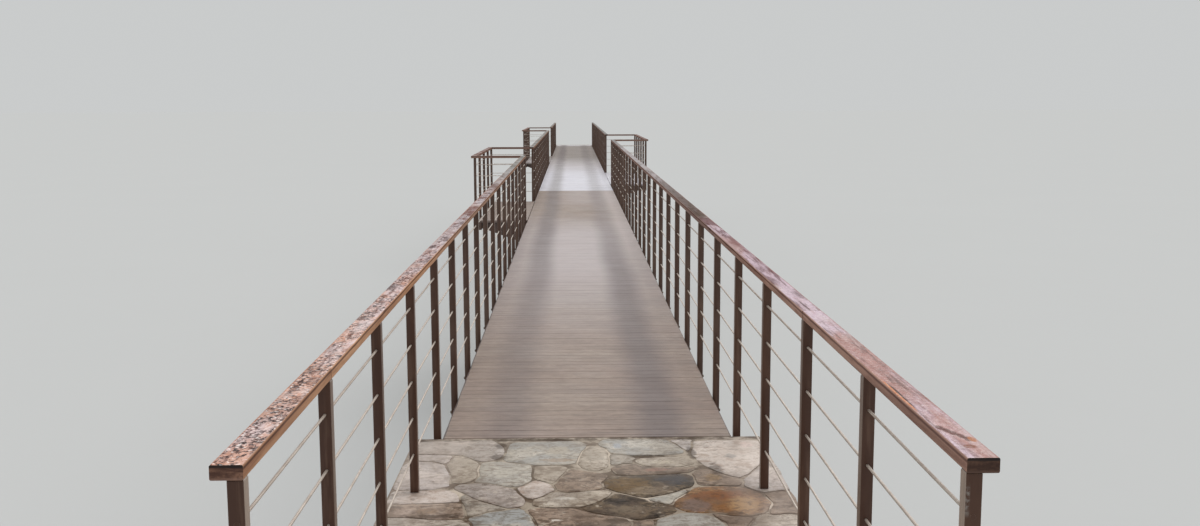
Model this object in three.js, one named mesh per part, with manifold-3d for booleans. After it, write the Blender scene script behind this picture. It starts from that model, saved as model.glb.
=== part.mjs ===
// One to two scale model of a timber-decked footbridge with wire-rope railings and three viewing balconies.
// Millimetres, Z up. The origin is on the ground under the middle of the bridge,
// and +Y runs from the stone-paved near landing to the far end.

import * as THREE from 'three';
import { mergeVertices } from 'three/addons/utils/BufferGeometryUtils.js';
import Module from 'manifold-3d';

const wasm = await Module();
wasm.setup();

// Everything is laid out at the real bridge's size, and each piece is reduced by this scale as it is added.
const SCALE = 1 / 2;

// Driving dimensions: lengths along the bridge are counted in bays, post to post.
const BAY = 850;
const LANDING_BAYS = 4;
const DECK_BAYS = 50;
const PIER_BAYS = [17, 33];
const BALCONIES = [
  { name: 'left_balcony_1', side: -1, from: 13, to: 17 },
  { name: 'right_balcony', side: 1, from: 22, to: 27 },
  { name: 'left_balcony_2', side: -1, from: 33, to: 38 },
];
const NEAR_OVERHANG = 200;
const FAR_LEDGE = 500;

// Levels above the ground
const DECK_TOP = 2700;
const BOARD_THICK = 30;
const PAVING_TOP = 2705;
const PAVING_THICK = 60;
const RAIL_TOP = DECK_TOP + 920;
const ROPE_HEIGHTS = [169, 325, 482, 638, 794];

// Widths and sections
const POST = 35;
const POST_LINE = 743;
const BALCONY_LINE = 1443;
const ROPE = 8;
const HANDRAIL_WIDE = 70;
const HANDRAIL_DEEP = 32;
const HANDRAIL_CHAMFER = 4;
const HANDRAIL_SET_OUT = 16;
const HANDRAIL_END = 4;
const BOARD_GAP = 17;
const LANDING_HALF = 855;
const LANDING_SETBACK = 45;
const DECK_END_GAP = 5;

// Steel below the deck
const CHANNEL_DEEP = 380;
const CHANNEL_WIDE = 100;
const CHANNEL_WEB = 13;
const CHANNEL_FLANGE = 16;
const SPLICE_GAP = 10;
const STRINGER_LINES = [-340, 0, 340];
const STRINGER_WIDE = 60;
const STRINGER_DEEP = 100;
const JOIST_WIDE = 70;
const JOIST_DEEP = 180;
const JOIST_DROP = 40;
const BAYS_PER_JOIST = 2;
const POST_FOOT_ABOVE_FLANGE = 40;
const BRACKET_THICK = 20;
const BRACKET_TIP_DEEP = 70;
const BRACKET_ROOT_DEEP = 320;
const BAYS_PER_BRACKET = 1.5;
const BRACKET_END_OFFSET = 100;
const EDGE_MEMBER_WIDE = 60;

// Concrete and masonry
const SEAT_LENGTH = 350;
const FOOTING = { wide: 2100, long: 1000, high: 350 };
const STEM = { wide: 1560, long: 420 };
const CAP = { wide: 1720, long: 600, high: 220 };

// Clearance between pieces that bear on each other, 0.3 mm in the model
const SEAT = 0.3 / SCALE;

// Worked out from the above
const BRIDGE_START = -LANDING_BAYS * BAY - NEAR_OVERHANG;
const BRIDGE_END = DECK_BAYS * BAY + FAR_LEDGE;
const MIDDLE = (BRIDGE_START + BRIDGE_END) / 2;
const DECK_OVERRUN = LANDING_SETBACK - DECK_END_GAP;
const POST_INNER = POST_LINE - POST / 2;
const POST_OUTER = POST_LINE + POST / 2;
const DECK_HALF = POST_INNER - BOARD_GAP;
const DECK_UNDER = DECK_TOP - BOARD_THICK;
const STEEL_TOP = DECK_UNDER - SEAT;
const CHANNEL_BOTTOM = STEEL_TOP - CHANNEL_DEEP;
const SEAT_LEVEL = CHANNEL_BOTTOM - SEAT;
const CHANNEL_FACE = POST_INNER - SEAT;
const HANDRAIL_UNDER = RAIL_TOP - HANDRAIL_DEEP;
const POST_HEAD = HANDRAIL_UNDER - SEAT;
const DECK_POST_FOOT = CHANNEL_BOTTOM + POST_FOOT_ABOVE_FLANGE;
const LANDING_POST_FOOT = PAVING_TOP + SEAT;

const at = (bay) => bay * BAY - MIDDLE;

const bridge = new THREE.Group();

const finishes = {
  masonry: { color: 0x7d7a72, roughness: 0.9, metalness: 0 },
  flagstone: { color: 0x8b8880, roughness: 0.55, metalness: 0 },
  concrete: { color: 0x8e8c86, roughness: 0.9, metalness: 0 },
  steelwork: { color: 0x4a3a33, roughness: 0.55, metalness: 0.4 },
  deckTimber: { color: 0x9b8c82, roughness: 0.5, metalness: 0 },
  handrailTimber: { color: 0x8a4f38, roughness: 0.3, metalness: 0 },
  railing: { color: 0x503732, roughness: 0.45, metalness: 0.4 },
};

function addPiece(name, geometry, finish) {
  const reduced = geometry.scale(SCALE, SCALE, SCALE);
  const mesh = new THREE.Mesh(reduced, new THREE.MeshStandardMaterial(finishes[finish]));
  mesh.name = name;
  bridge.add(mesh);
}

function block(x0, x1, y0, y1, z0, z1) {
  const geometry = new THREE.BoxGeometry(x1 - x0, y1 - y0, z1 - z0);
  geometry.translate((x0 + x1) / 2, (y0 + y1) / 2, (z0 + z1) / 2);
  return geometry;
}

function outlineShape(points) {
  return new THREE.Shape(points.map(([u, v]) => new THREE.Vector2(u, v)));
}

function extruded(points, length) {
  return new THREE.ExtrudeGeometry(outlineShape(points), { depth: length, bevelEnabled: false });
}

// An outline in (x, y) raised from z0 to z1
function prismZ(points, z0, z1) {
  return extruded(points, z1 - z0).translate(0, 0, z0);
}

// An outline in (x, z) drawn out from y0 to y1
function prismY(points, y0, y1) {
  const turn = new THREE.Matrix4().makeBasis(
    new THREE.Vector3(1, 0, 0), new THREE.Vector3(0, 0, 1), new THREE.Vector3(0, -1, 0));
  return extruded(points, y1 - y0).applyMatrix4(turn).translate(0, y1, 0);
}

// An outline in (y, z) drawn out from x0 to x1
function prismX(points, x0, x1) {
  const turn = new THREE.Matrix4().makeBasis(
    new THREE.Vector3(0, 1, 0), new THREE.Vector3(0, 0, 1), new THREE.Vector3(1, 0, 0));
  return extruded(points, x1 - x0).applyMatrix4(turn).translate(x0, 0, 0);
}

function solidOf(geometry) {
  const bare = geometry.clone();
  bare.deleteAttribute('normal');
  bare.deleteAttribute('uv');
  const merged = mergeVertices(bare);
  return new wasm.Manifold(new wasm.Mesh({
    numProp: 3,
    vertProperties: new Float32Array(merged.attributes.position.array),
    triVerts: new Uint32Array(merged.index.array),
  }));
}

function fused(geometries) {
  const solids = geometries.map(solidOf);
  const joined = solids.reduce((whole, solid) => whole.add(solid));
  const mesh = joined.getMesh();
  const geometry = new THREE.BufferGeometry();
  geometry.setAttribute('position', new THREE.BufferAttribute(mesh.vertProperties, 3));
  geometry.setIndex(new THREE.BufferAttribute(mesh.triVerts, 1));
  geometry.computeVertexNormals();
  return geometry;
}

// The low and high x of a piece that lies between two distances from the middle, on one side
function spanX(side, inner, outer) {
  return side < 0 ? [-outer, -inner] : [inner, outer];
}

// Masonry abutments: a mass under the paving and a lower seat for the beam ends.
function abutmentOutline(outer, inner, seatEnd) {
  const top = PAVING_TOP - PAVING_THICK - SEAT;
  return [
    [outer, 0],
    [seatEnd, 0],
    [seatEnd, SEAT_LEVEL],
    [inner, SEAT_LEVEL],
    [inner, top],
    [outer, top],
  ];
}

const nearOuter = BRIDGE_START - MIDDLE;
const nearInner = at(0) - LANDING_SETBACK;
const farOuter = BRIDGE_END - MIDDLE;
const farInner = at(DECK_BAYS) + LANDING_SETBACK;

const nearMass = abutmentOutline(nearOuter, nearInner, nearInner + SEAT_LENGTH);
const farMass = abutmentOutline(farOuter, farInner, farInner - SEAT_LENGTH).reverse();
addPiece('near_abutment', prismX(nearMass, -LANDING_HALF, LANDING_HALF), 'masonry');
addPiece('far_abutment', prismX(farMass, -LANDING_HALF, LANDING_HALF), 'masonry');

// Paving slabs of flat stones, level with the boards
for (const [name, y0, y1] of [['near', nearOuter, nearInner], ['far', farInner, farOuter]]) {
  const slab = block(-LANDING_HALF, LANDING_HALF, y0, y1, PAVING_TOP - PAVING_THICK, PAVING_TOP);
  addPiece(`${name}_landing_paving`, slab, 'flagstone');
}

// Concrete piers: footing, stem and cap cast in one.
function pierBlock(y, { wide, long }, bottom, top) {
  return block(-wide / 2, wide / 2, y - long / 2, y + long / 2, bottom, top);
}

PIER_BAYS.forEach((bay, index) => {
  const y = at(bay);
  const capUnder = SEAT_LEVEL - CAP.high;
  addPiece(`pier_${index + 1}`, fused([
    pierBlock(y, FOOTING, 0, FOOTING.high),
    pierBlock(y, STEM, FOOTING.high / 2, SEAT_LEVEL - CAP.high / 2),
    pierBlock(y, CAP, capUnder, SEAT_LEVEL),
  ]), 'concrete');
});

// The three spans between abutments and piers, as pairs of y values
const joints = PIER_BAYS.map(at);
const spanStarts = [at(0) - DECK_OVERRUN, ...joints];
const spanEnds = [...joints, at(DECK_BAYS) + DECK_OVERRUN];
const spans = spanStarts.map((start, index) => ({ start, end: spanEnds[index], number: index + 1 }));

// Side beams: channels with the web outside, where the posts are bolted on.
function channelOutline(side) {
  const face = side * CHANNEL_FACE;
  const web = side * (CHANNEL_FACE - CHANNEL_WEB);
  const tip = side * (CHANNEL_FACE - CHANNEL_WIDE);
  const points = [
    [face, CHANNEL_BOTTOM],
    [face, STEEL_TOP],
    [tip, STEEL_TOP],
    [tip, STEEL_TOP - CHANNEL_FLANGE],
    [web, STEEL_TOP - CHANNEL_FLANGE],
    [web, CHANNEL_BOTTOM + CHANNEL_FLANGE],
    [tip, CHANNEL_BOTTOM + CHANNEL_FLANGE],
    [tip, CHANNEL_BOTTOM],
  ];
  return side < 0 ? points.reverse() : points;
}

for (const { start, end, number } of spans) {
  for (const [word, side] of [['left', -1], ['right', 1]]) {
    const beam = prismY(channelOutline(side), start + SPLICE_GAP / 2, end - SPLICE_GAP / 2);
    addPiece(`${word}_side_beam_${number}`, beam, 'steelwork');
  }
}

// Deck framing: stringers under the boards, carried by cross joists between the channel webs.
function deckFraming(start, end) {
  const first = start + SPLICE_GAP + JOIST_WIDE / 2;
  const last = end - SPLICE_GAP - JOIST_WIDE / 2;
  const fields = Math.round((last - first) / (BAYS_PER_JOIST * BAY));
  const reach = CHANNEL_FACE - CHANNEL_WEB - SEAT;
  const joistTop = STEEL_TOP - JOIST_DROP;
  const members = STRINGER_LINES.map((x) => block(
    x - STRINGER_WIDE / 2, x + STRINGER_WIDE / 2,
    start + SPLICE_GAP, end - SPLICE_GAP,
    STEEL_TOP - STRINGER_DEEP, STEEL_TOP));
  for (let index = 0; index <= fields; index += 1) {
    const y = first + ((last - first) * index) / fields;
    members.push(block(
      -reach, reach, y - JOIST_WIDE / 2, y + JOIST_WIDE / 2, joistTop - JOIST_DEEP, joistTop));
  }
  return fused(members);
}

for (const { start, end, number } of spans) {
  addPiece(`deck_framing_${number}`, deckFraming(start, end), 'steelwork');
}

// Deck surface, one slab of boards a span
for (const { start, end, number } of spans) {
  const slab = block(-DECK_HALF, DECK_HALF, start + SEAT / 2, end - SEAT / 2, DECK_UNDER, DECK_TOP);
  addPiece(`deck_boards_${number}`, slab, 'deckTimber');
}

// Posts and ropes
function post(x, y, foot) {
  return block(x - POST / 2, x + POST / 2, y - POST / 2, y + POST / 2, foot, POST_HEAD);
}

function ropeSection(across, height) {
  const r = ROPE / 2;
  return [[across + r, height], [across, height + r], [across - r, height], [across, height - r]];
}

function ropesAlong(x, y0, y1) {
  return ROPE_HEIGHTS.map((height) => prismY(ropeSection(x, DECK_TOP + height), y0, y1));
}

function ropesAcross(y, x0, x1) {
  return ROPE_HEIGHTS.map((height) => prismX(ropeSection(y, DECK_TOP + height), x0, x1));
}

function straightRailing(side, fromBay, toBay) {
  const x = side * POST_LINE;
  const posts = [];
  for (let bay = fromBay; bay <= toBay; bay += 1) {
    const onStone = bay < 0;
    posts.push(post(x, at(bay), onStone ? LANDING_POST_FOOT : DECK_POST_FOOT));
  }
  return fused([...posts, ...ropesAlong(x, at(fromBay), at(toBay))]);
}

// The handrail is nearly flush with the inner faces of the posts and overhangs outwards.
function handrailOutline(side) {
  const x = side * (POST_LINE + HANDRAIL_SET_OUT);
  const half = HANDRAIL_WIDE / 2;
  const c = HANDRAIL_CHAMFER;
  return [
    [x - half, HANDRAIL_UNDER],
    [x + half, HANDRAIL_UNDER],
    [x + half, RAIL_TOP - c],
    [x + half - c, RAIL_TOP],
    [x - half + c, RAIL_TOP],
    [x - half, RAIL_TOP - c],
  ];
}

// Beyond its last post the handrail ends free, or runs on to cover the end of a balcony's cross rail.
function handrailReach(bay) {
  const atBridgeEnd = bay === -LANDING_BAYS || bay === DECK_BAYS;
  return atBridgeEnd ? POST / 2 + HANDRAIL_END : HANDRAIL_WIDE / 2 - HANDRAIL_SET_OUT;
}

function addStraightRail(name, side, fromBay, toBay) {
  const start = at(fromBay) - handrailReach(fromBay);
  const end = at(toBay) + handrailReach(toBay);
  addPiece(`${name}_railing`, straightRailing(side, fromBay, toBay), 'railing');
  addPiece(`${name}_handrail`, prismY(handrailOutline(side), start, end), 'handrailTimber');
}

// The straight railings run between the balconies of their own side.
for (const [word, side] of [['left', -1], ['right', 1]]) {
  const own = BALCONIES.filter((balcony) => balcony.side === side);
  const starts = [-LANDING_BAYS, ...own.map((balcony) => balcony.to)];
  const ends = [...own.map((balcony) => balcony.from), DECK_BAYS];
  starts.forEach((start, index) => addStraightRail(`${word}_run_${index + 1}`, side, start, ends[index]));
}

// Balconies: tapered steel brackets, an edge member, boards, and a railing on three sides.
function balconyFrame({ side, from, to }) {
  const root = POST_INNER;
  const edge = BALCONY_LINE - POST / 2 - SEAT;
  const bracket = [
    [side * root, STEEL_TOP - BRACKET_ROOT_DEEP],
    [side * root, STEEL_TOP],
    [side * (edge - EDGE_MEMBER_WIDE / 2), STEEL_TOP],
    [side * (edge - EDGE_MEMBER_WIDE / 2), STEEL_TOP - BRACKET_TIP_DEEP],
  ];
  const outline = side < 0 ? bracket : bracket.reverse();
  const [x0, x1] = spanX(side, edge - EDGE_MEMBER_WIDE, edge);
  const members = [
    block(x0, x1, at(from) - POST / 2, at(to) + POST / 2, STEEL_TOP - STRINGER_DEEP, STEEL_TOP),
  ];
  const first = at(from) + BRACKET_END_OFFSET;
  const last = at(to) - BRACKET_END_OFFSET;
  const fields = Math.round((last - first) / (BAYS_PER_BRACKET * BAY));
  for (let index = 0; index <= fields; index += 1) {
    const y = first + ((last - first) * index) / fields;
    members.push(prismY(outline, y - BRACKET_THICK / 2, y + BRACKET_THICK / 2));
  }
  return fused(members);
}

function crossRailing(side, y, foot) {
  const [x0, x1] = spanX(side, POST_OUTER + SEAT, BALCONY_LINE);
  return fused([post(side * BALCONY_LINE, y, foot), ...ropesAcross(y, x0, x1)]);
}

function outerRailing(side, fromBay, toBay, foot) {
  const x = side * BALCONY_LINE;
  const posts = [];
  for (let bay = fromBay + 1; bay < toBay; bay += 1) {
    posts.push(post(x, at(bay), foot));
  }
  const clear = POST / 2 + SEAT;
  return fused([...posts, ...ropesAlong(x, at(fromBay) + clear, at(toBay) - clear)]);
}

function balconyHandrail({ side, from, to }) {
  const overhang = HANDRAIL_WIDE / 2 + HANDRAIL_SET_OUT;
  const inset = HANDRAIL_WIDE / 2 - HANDRAIL_SET_OUT;
  const root = side * (POST_LINE + overhang + SEAT);
  const inner = side * (BALCONY_LINE - inset);
  const outer = side * (BALCONY_LINE + overhang);
  const outline = [
    [root, at(from) - overhang],
    [outer, at(from) - overhang],
    [outer, at(to) + overhang],
    [root, at(to) + overhang],
    [root, at(to) - inset],
    [inner, at(to) - inset],
    [inner, at(from) + inset],
    [root, at(from) + inset],
  ];
  return prismZ(outline, HANDRAIL_UNDER, RAIL_TOP);
}

for (const balcony of BALCONIES) {
  const { name, side, from, to } = balcony;
  const foot = STEEL_TOP - STRINGER_DEEP;
  const deckStart = at(from) + POST / 2 + BOARD_GAP;
  const deckEnd = at(to) - POST / 2 - BOARD_GAP;
  const [x0, x1] = spanX(side, DECK_HALF + DECK_END_GAP, BALCONY_LINE - POST / 2 - BOARD_GAP);
  const slab = block(x0, x1, deckStart, deckEnd, DECK_UNDER, DECK_TOP);
  addPiece(`${name}_frame`, balconyFrame(balcony), 'steelwork');
  addPiece(`${name}_boards`, slab, 'deckTimber');
  addPiece(`${name}_near_railing`, crossRailing(side, at(from), foot), 'railing');
  addPiece(`${name}_outer_railing`, outerRailing(side, from, to, foot), 'railing');
  addPiece(`${name}_far_railing`, crossRailing(side, at(to), foot), 'railing');
  addPiece(`${name}_handrail`, balconyHandrail(balcony), 'handrailTimber');
}

export default bridge;
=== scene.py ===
"""Looks of the half-size boarded footbridge: weathered boards, wet handrails, ropes, stone and steel."""

import math
import random
from functools import cached_property
from itertools import product

import bpy
import numpy as np
from mathutils import Matrix, Vector, noise


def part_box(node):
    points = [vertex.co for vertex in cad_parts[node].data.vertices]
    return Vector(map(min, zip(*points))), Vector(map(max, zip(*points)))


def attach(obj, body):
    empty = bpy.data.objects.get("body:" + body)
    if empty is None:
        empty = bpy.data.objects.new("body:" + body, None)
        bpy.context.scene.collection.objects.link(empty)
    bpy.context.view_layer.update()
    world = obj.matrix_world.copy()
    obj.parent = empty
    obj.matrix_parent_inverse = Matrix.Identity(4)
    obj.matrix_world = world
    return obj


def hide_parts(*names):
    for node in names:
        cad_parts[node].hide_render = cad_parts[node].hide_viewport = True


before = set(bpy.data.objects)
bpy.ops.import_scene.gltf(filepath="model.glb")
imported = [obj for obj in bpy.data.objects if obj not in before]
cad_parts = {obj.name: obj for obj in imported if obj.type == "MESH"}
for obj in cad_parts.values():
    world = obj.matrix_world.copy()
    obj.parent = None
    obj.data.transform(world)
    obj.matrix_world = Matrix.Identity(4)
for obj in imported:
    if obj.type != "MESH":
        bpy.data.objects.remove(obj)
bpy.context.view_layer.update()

scene = bpy.context.scene
UP = Vector((0, 0, 1))
ALONG_BRIDGE = Vector((0, 1, 0))
ACROSS_BRIDGE = Vector((1, 0, 0))

# Levels and lines read from the frame, in metres
DECK_LOW, DECK_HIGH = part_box("deck_boards_1")
DECK_TOP = DECK_HIGH.z
BOARD_THICK = DECK_HIGH.z - DECK_LOW.z
LANDING_LOW, LANDING_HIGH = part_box("near_landing_paving")
PAVING_TOP = LANDING_HIGH.z
LANDING_EDGE = LANDING_HIGH.y
RAIL_LOW, RAIL_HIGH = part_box("left_run_1_handrail")
RAIL_WIDE = RAIL_HIGH.x - RAIL_LOW.x
RAIL_DEEP = RAIL_HIGH.z - RAIL_LOW.z
POST_LOW, POST_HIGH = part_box("left_run_1_railing")
POST = POST_HIGH.x - POST_LOW.x
BAY = 0.425

# Sizes of what the frame leaves plain, in metres: ropes with their sleeves and end plugs
ROPE_HEIGHTS = [0.0845, 0.1625, 0.241, 0.319, 0.397]
ROPE, PLUG = 0.004, 0.0034
SLEEVE, SLEEVE_LONG = 0.0026, 0.016

# Boards, how unevenly they lie, and the line past which they are wet and carry a painted reflection
BOARD_PITCH, BOARD_JOINT, BOARD_ARRIS = 0.0472, 0.0008, 0.0006
BOARD_DROP, BOARD_SKEW, BOARD_SHORT = 0.0003, 0.0005, 0.0015
NOSING_WIDE, NOSING_ARRIS = 0.021, 0.002
WET_EDGE = -1.40

# Posts and handrails
POST_ARRIS, POST_SET, POST_FOOT_TALL = 0.0011, 0.004, 0.165
RAIL_ARRIS, RAIL_PLAY, RAIL_SWELL = 0.0018, 0.0006, 0.0005
RAIL_JOINT, RAIL_STEP, RAIL_BAYS_PER_LENGTH = 0.0008, 0.03, 4
FIRST_RAIL_JOINT = {"left_rail": -11.125, "right_rail": -10.7}

# Flagstones in their bed, and the least, the most and the step of the reaches tried for a stone
STONE_JOINT, STONE_SPREAD, LOOSE_SPREAD = 0.0028, 0.013, 0.045
STONE_REACHES = (0.002, 0.30, 0.0015)
RIM_RADIUS = 0.05
BED_INSET, BED_DROP = 0.002, 0.0024

# Abutment walls: courses, rubble and squared corner stones
COURSE_HIGH, COURSE_SWAY, HALVED_OVER = 0.095, 0.045, 0.085
RUBBLE_SHORT, RUBBLE_LONG, RUBBLE_LEAN = 0.08, 0.21, 0.014
QUOIN_LONG, QUOIN_SHORT, FACE_PER_QUOIN = 0.18, 0.095, 2.4
QUOIN_SINK, QUOIN_ROUNDING, QUOIN_RELIEF = 0.002, 0.009, 0.0018
CORE_INSET = 0.008

# Piers
FOOTING_HIGH, CAP_HIGH = 0.175, 0.11
STEM_WIDE, STEM_LONG, STEM_LIFTS = 0.78, 0.21, 3
CAP_WIDE, CAP_LONG = 0.86, 0.30
TIE_HOLE, TIE_HOLE_PLACES = 0.009, (-0.26, 0, 0.26)

# Bolts and cleats
BAYS_PER_JOIST, HALF_JOIST = 2, 0.0175
BOLT = 0.011
POST_BOLT = BOLT * 0.8
POST_BOLT_DROPS, BALCONY_BOLT_RISE = (0.03, 0.10), 0.025
WEB_BOLT_SHIFT, WEB_BOLT_DROPS, WEB_BOLT_END = 0.011, (0.045, 0.085), 0.03
PLATE_THICK, PLATE_ARRIS = 0.005, 0.0006
CLEAT_LEG, CLEAT_HIGH, HALF_CLEAT, CLEAT_SHIFT = 0.048, 0.05, 0.035, 0.085
CLEAT_BOLT_SHIFT, CLEAT_BOLT_OUT, CLEAT_BOLT_UP = 0.02, 0.03, 0.032

BALCONIES = ("left_balcony_1", "right_balcony", "left_balcony_2")
RUNS = ("left_run_1", "left_run_2", "left_run_3", "right_run_1", "right_run_2")


def srgb(*shades):
    """A display colour, 0 to 255, as the linear colour that shaders use."""
    shares = [shade / 255 for shade in shades]
    linear = [share / 12.92 if share <= 0.04045 else ((share + 0.055) / 1.055) ** 2.4 for share in shares]
    return (*linear, 1.0)


# Camera, floor and light

def make_camera():
    place = Vector((-0.0333, -12.706, 2.1636))
    yaw, pitch, roll = 0.0230, 0.1330, -0.0027
    forward = Vector((math.sin(yaw) * math.cos(pitch), math.cos(yaw) * math.cos(pitch), -math.sin(pitch)))
    level_right = Vector((math.cos(yaw), -math.sin(yaw), 0))
    level_up = level_right.cross(forward)
    right = level_right * math.cos(roll) + level_up * math.sin(roll)
    up = right.cross(forward)
    data = bpy.data.cameras.new("walker_eye_camera")
    data.sensor_width = 36
    data.lens = 35.46
    data.clip_end = 900
    camera = bpy.data.objects.new("walker_eye_camera", data)
    axes = Matrix((right, up, -forward)).transposed().to_4x4()
    camera.matrix_world = Matrix.Translation(place) @ axes
    scene.collection.objects.link(camera)
    scene.camera = camera


def make_studio():
    """An even pale surround, and one very soft lamp high beyond the far end, a little to the right."""
    world = bpy.data.worlds.new("soft_overcast")
    scene.world = world
    world.use_nodes = True
    sky = world.node_tree.nodes["Background"]
    sky.inputs["Color"].default_value = (0.98, 1.0, 1.0, 1)
    sky.inputs["Strength"].default_value = 0.60
    data = bpy.data.lights.new("soft_overhead_lamp", "SUN")
    data.energy = 1.9
    data.angle = math.radians(70)
    data.color = (1.0, 0.985, 0.96)
    lamp = bpy.data.objects.new("soft_overhead_lamp", data)
    lamp.rotation_euler = Vector((-0.30, -0.75, -0.95)).to_track_quat("-Z", "Y").to_euler()
    scene.collection.objects.link(lamp)
    mesh = bpy.data.meshes.new("studio_floor")
    reach = 400
    corners = [(x * reach, y * reach, 0) for x, y in ((-1, -1), (1, -1), (1, 1), (-1, 1))]
    mesh.from_pydata(corners, [], [(0, 1, 2, 3)])
    floor = bpy.data.objects.new("studio_floor", mesh)
    floor.location.z = -0.001
    mesh.materials.append(floor_finish())
    scene.collection.objects.link(floor)
    scene.view_settings.view_transform = "Standard"


# Shader parts

class Shading:
    """Short ways to lay nodes in one tree. Any value may be a number, a vector or another node's socket."""

    def __init__(self, tree):
        self.tree = tree

    def feed(self, socket, value):
        if isinstance(value, bpy.types.NodeSocket):
            self.tree.links.new(value, socket)
        else:
            socket.default_value = value

    def node(self, kind, settings=(), **values):
        """A node of one kind, with its settings and the values of its named sockets."""
        node = self.tree.nodes.new(f"ShaderNode{kind}")
        for name, value in dict(settings).items():
            setattr(node, name, value)
        for name, value in values.items():
            self.feed(node.inputs[name.replace("_", " ")], value)
        return node

    def calc(self, operation, first, second=0.0, clamp=False):
        node = self.node("Math", {"operation": operation, "use_clamp": clamp})
        self.feed(node.inputs[0], first)
        self.feed(node.inputs[1], second)
        return node.outputs[0]

    def both(self, first, second):
        return self.calc("MULTIPLY", first, second)

    def ramp(self, value, low, high, out_low=0.0, out_high=1.0):
        """Spreads a value between two limits over a smooth step."""
        step = self.node("MapRange", {"interpolation_type": "SMOOTHSTEP"}, Value=value, From_Min=low,
                         From_Max=high, To_Min=out_low, To_Max=out_high)
        return step.outputs["Result"]

    def band(self, value, rise, full, fall, end):
        """1 between two middle stops, falling to 0 at the outer ones."""
        return self.both(self.ramp(value, rise, full), self.ramp(value, fall, end, 1.0, 0.0))

    def stretched(self, vector, scales, turn=0.0):
        return self.node("Mapping", Vector=vector, Rotation=(0, 0, turn), Scale=scales).outputs["Vector"]

    def clouds(self, vector, scale, detail=4.0, roughness=0.55, distortion=0.0):
        noisy = self.node("TexNoise", Vector=vector, Scale=scale, Detail=detail, Roughness=roughness,
                          Distortion=distortion)
        return noisy.outputs["Fac"]

    def shifted(self, vector, tone):
        """Moves the pattern's origin by a piece's own tone, so that no two lengths share a figure."""
        far = self.both(tone, 37.0)
        moved = self.node("VectorMath", {"operation": "ADD"}, Vector=vector)
        self.feed(moved.inputs[1], self.node("CombineXYZ", X=far, Y=far, Z=far).outputs[0])
        return moved.outputs[0]

    def parts(self, vector):
        return list(self.node("SeparateXYZ", Vector=vector).outputs)

    def facing(self, normal="True Normal"):
        return self.parts(self.node("NewGeometry").outputs[normal])

    def spots(self, vector, scale, coverage, softer, harder, **texture):
        """Cloud patches that cover more as the coverage rises, with a soft outline on either side."""
        middle = self.calc("SUBTRACT", 1.0, coverage)
        low, high = self.calc("SUBTRACT", middle, softer), self.calc("ADD", middle, harder)
        return self.ramp(self.clouds(vector, scale, **texture), low, high)


def timber_grain(inside, vector, tone, fineness):
    """Fibres, figure and drying checks of sawn timber. The vector's first axis runs along the grain."""
    vector = inside.shifted(vector, tone)
    thin = inside.clouds(inside.stretched(vector, (0.03, 1, 1)), 130.0, 2.0, 0.5)
    return {
        "Fibres": inside.clouds(inside.stretched(vector, (0.06, 1, 1)), fineness, 5.0, 0.65),
        "Figure": inside.clouds(inside.stretched(vector, (0.12, 1, 1)), 14.0, 3.0, 0.5, 0.6),
        "Checks": inside.ramp(thin, 0.66, 0.74),
    }


def mottle(inside, vector, scale, coverage, softness):
    """Soft patches: 0 outside, 1 inside."""
    return {"Mask": inside.spots(vector, scale, coverage, softness, softness, detail=6.0, roughness=0.62,
                                 distortion=0.2)}


def edge_wear(inside, vector, width, broken):
    """Where arrises have been rubbed: the rounded normal turns away from the true one there."""
    rounded = inside.node("Bevel", {"samples": 4}, Radius=width).outputs["Normal"]
    dot = inside.node("VectorMath", {"operation": "DOT_PRODUCT"}, Vector=rounded)
    inside.feed(dot.inputs[1], inside.node("NewGeometry").outputs["Normal"])
    turned = inside.calc("SUBTRACT", 1.0, dot.outputs["Value"])
    limit = inside.ramp(inside.clouds(vector, broken, 4.0, 0.6), 0.3, 0.7, 0.02, 0.30)
    return {"Mask": inside.ramp(turned, limit, inside.calc("ADD", limit, 0.06))}


def shade_and_grime(inside, vector, reach, broken):
    """Dirt and painted shade in corners and under ledges, darker where little light reaches."""
    hollow = inside.node("AmbientOcclusion", {"samples": 4}, Distance=reach).outputs["AO"]
    patches = inside.ramp(inside.clouds(vector, broken, 4.0, 0.6), 0.25, 0.65, 0.4, 1.3)
    return {"Mask": inside.ramp(inside.both(inside.calc("SUBTRACT", 1.0, hollow), patches), 0.1, 0.75)}


def rain_streaks(inside, vector, scale):
    """Thin runs of water down an upright face."""
    runs = inside.clouds(inside.stretched(vector, (1, 1, 0.07)), scale, 4.0, 0.6)
    level = inside.calc("ABSOLUTE", inside.facing("Normal")[2])
    return {"Mask": inside.both(inside.ramp(runs, 0.5, 0.68), inside.ramp(level, 0.3, 0.7, 1.0, 0.0))}


def water_film(inside, vector, scale, coverage):
    """Beads and joined pools of rain on faces that look up."""
    pools = inside.spots(vector, scale, coverage, 0.03, 0.05, detail=2.5, roughness=0.5, distortion=0.3)
    return {"Wet": inside.both(pools, inside.ramp(inside.facing()[2], 0.75, 0.95))}


GROUPS = {}


def effect_group(name, wiring, **numbers):
    """Makes a node group with a vector and named numbers going in, and what its wiring gives coming out."""
    tree = bpy.data.node_groups.new(name, "ShaderNodeTree")
    tree.interface.new_socket("Vector", in_out="INPUT", socket_type="NodeSocketVector")
    for label, value in numbers.items():
        socket = tree.interface.new_socket(label, in_out="INPUT", socket_type="NodeSocketFloat")
        socket.default_value = value
    ends_in = tree.nodes.new("NodeGroupInput")
    given = [ends_in.outputs[label] for label in ("Vector", *numbers)]
    results = wiring(Shading(tree), *given)
    for label in results:
        tree.interface.new_socket(label, in_out="OUTPUT", socket_type="NodeSocketFloat")
    ends_out = tree.nodes.new("NodeGroupOutput")
    for label, value in results.items():
        tree.links.new(value, ends_out.inputs[label])
    GROUPS[name] = tree


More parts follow.
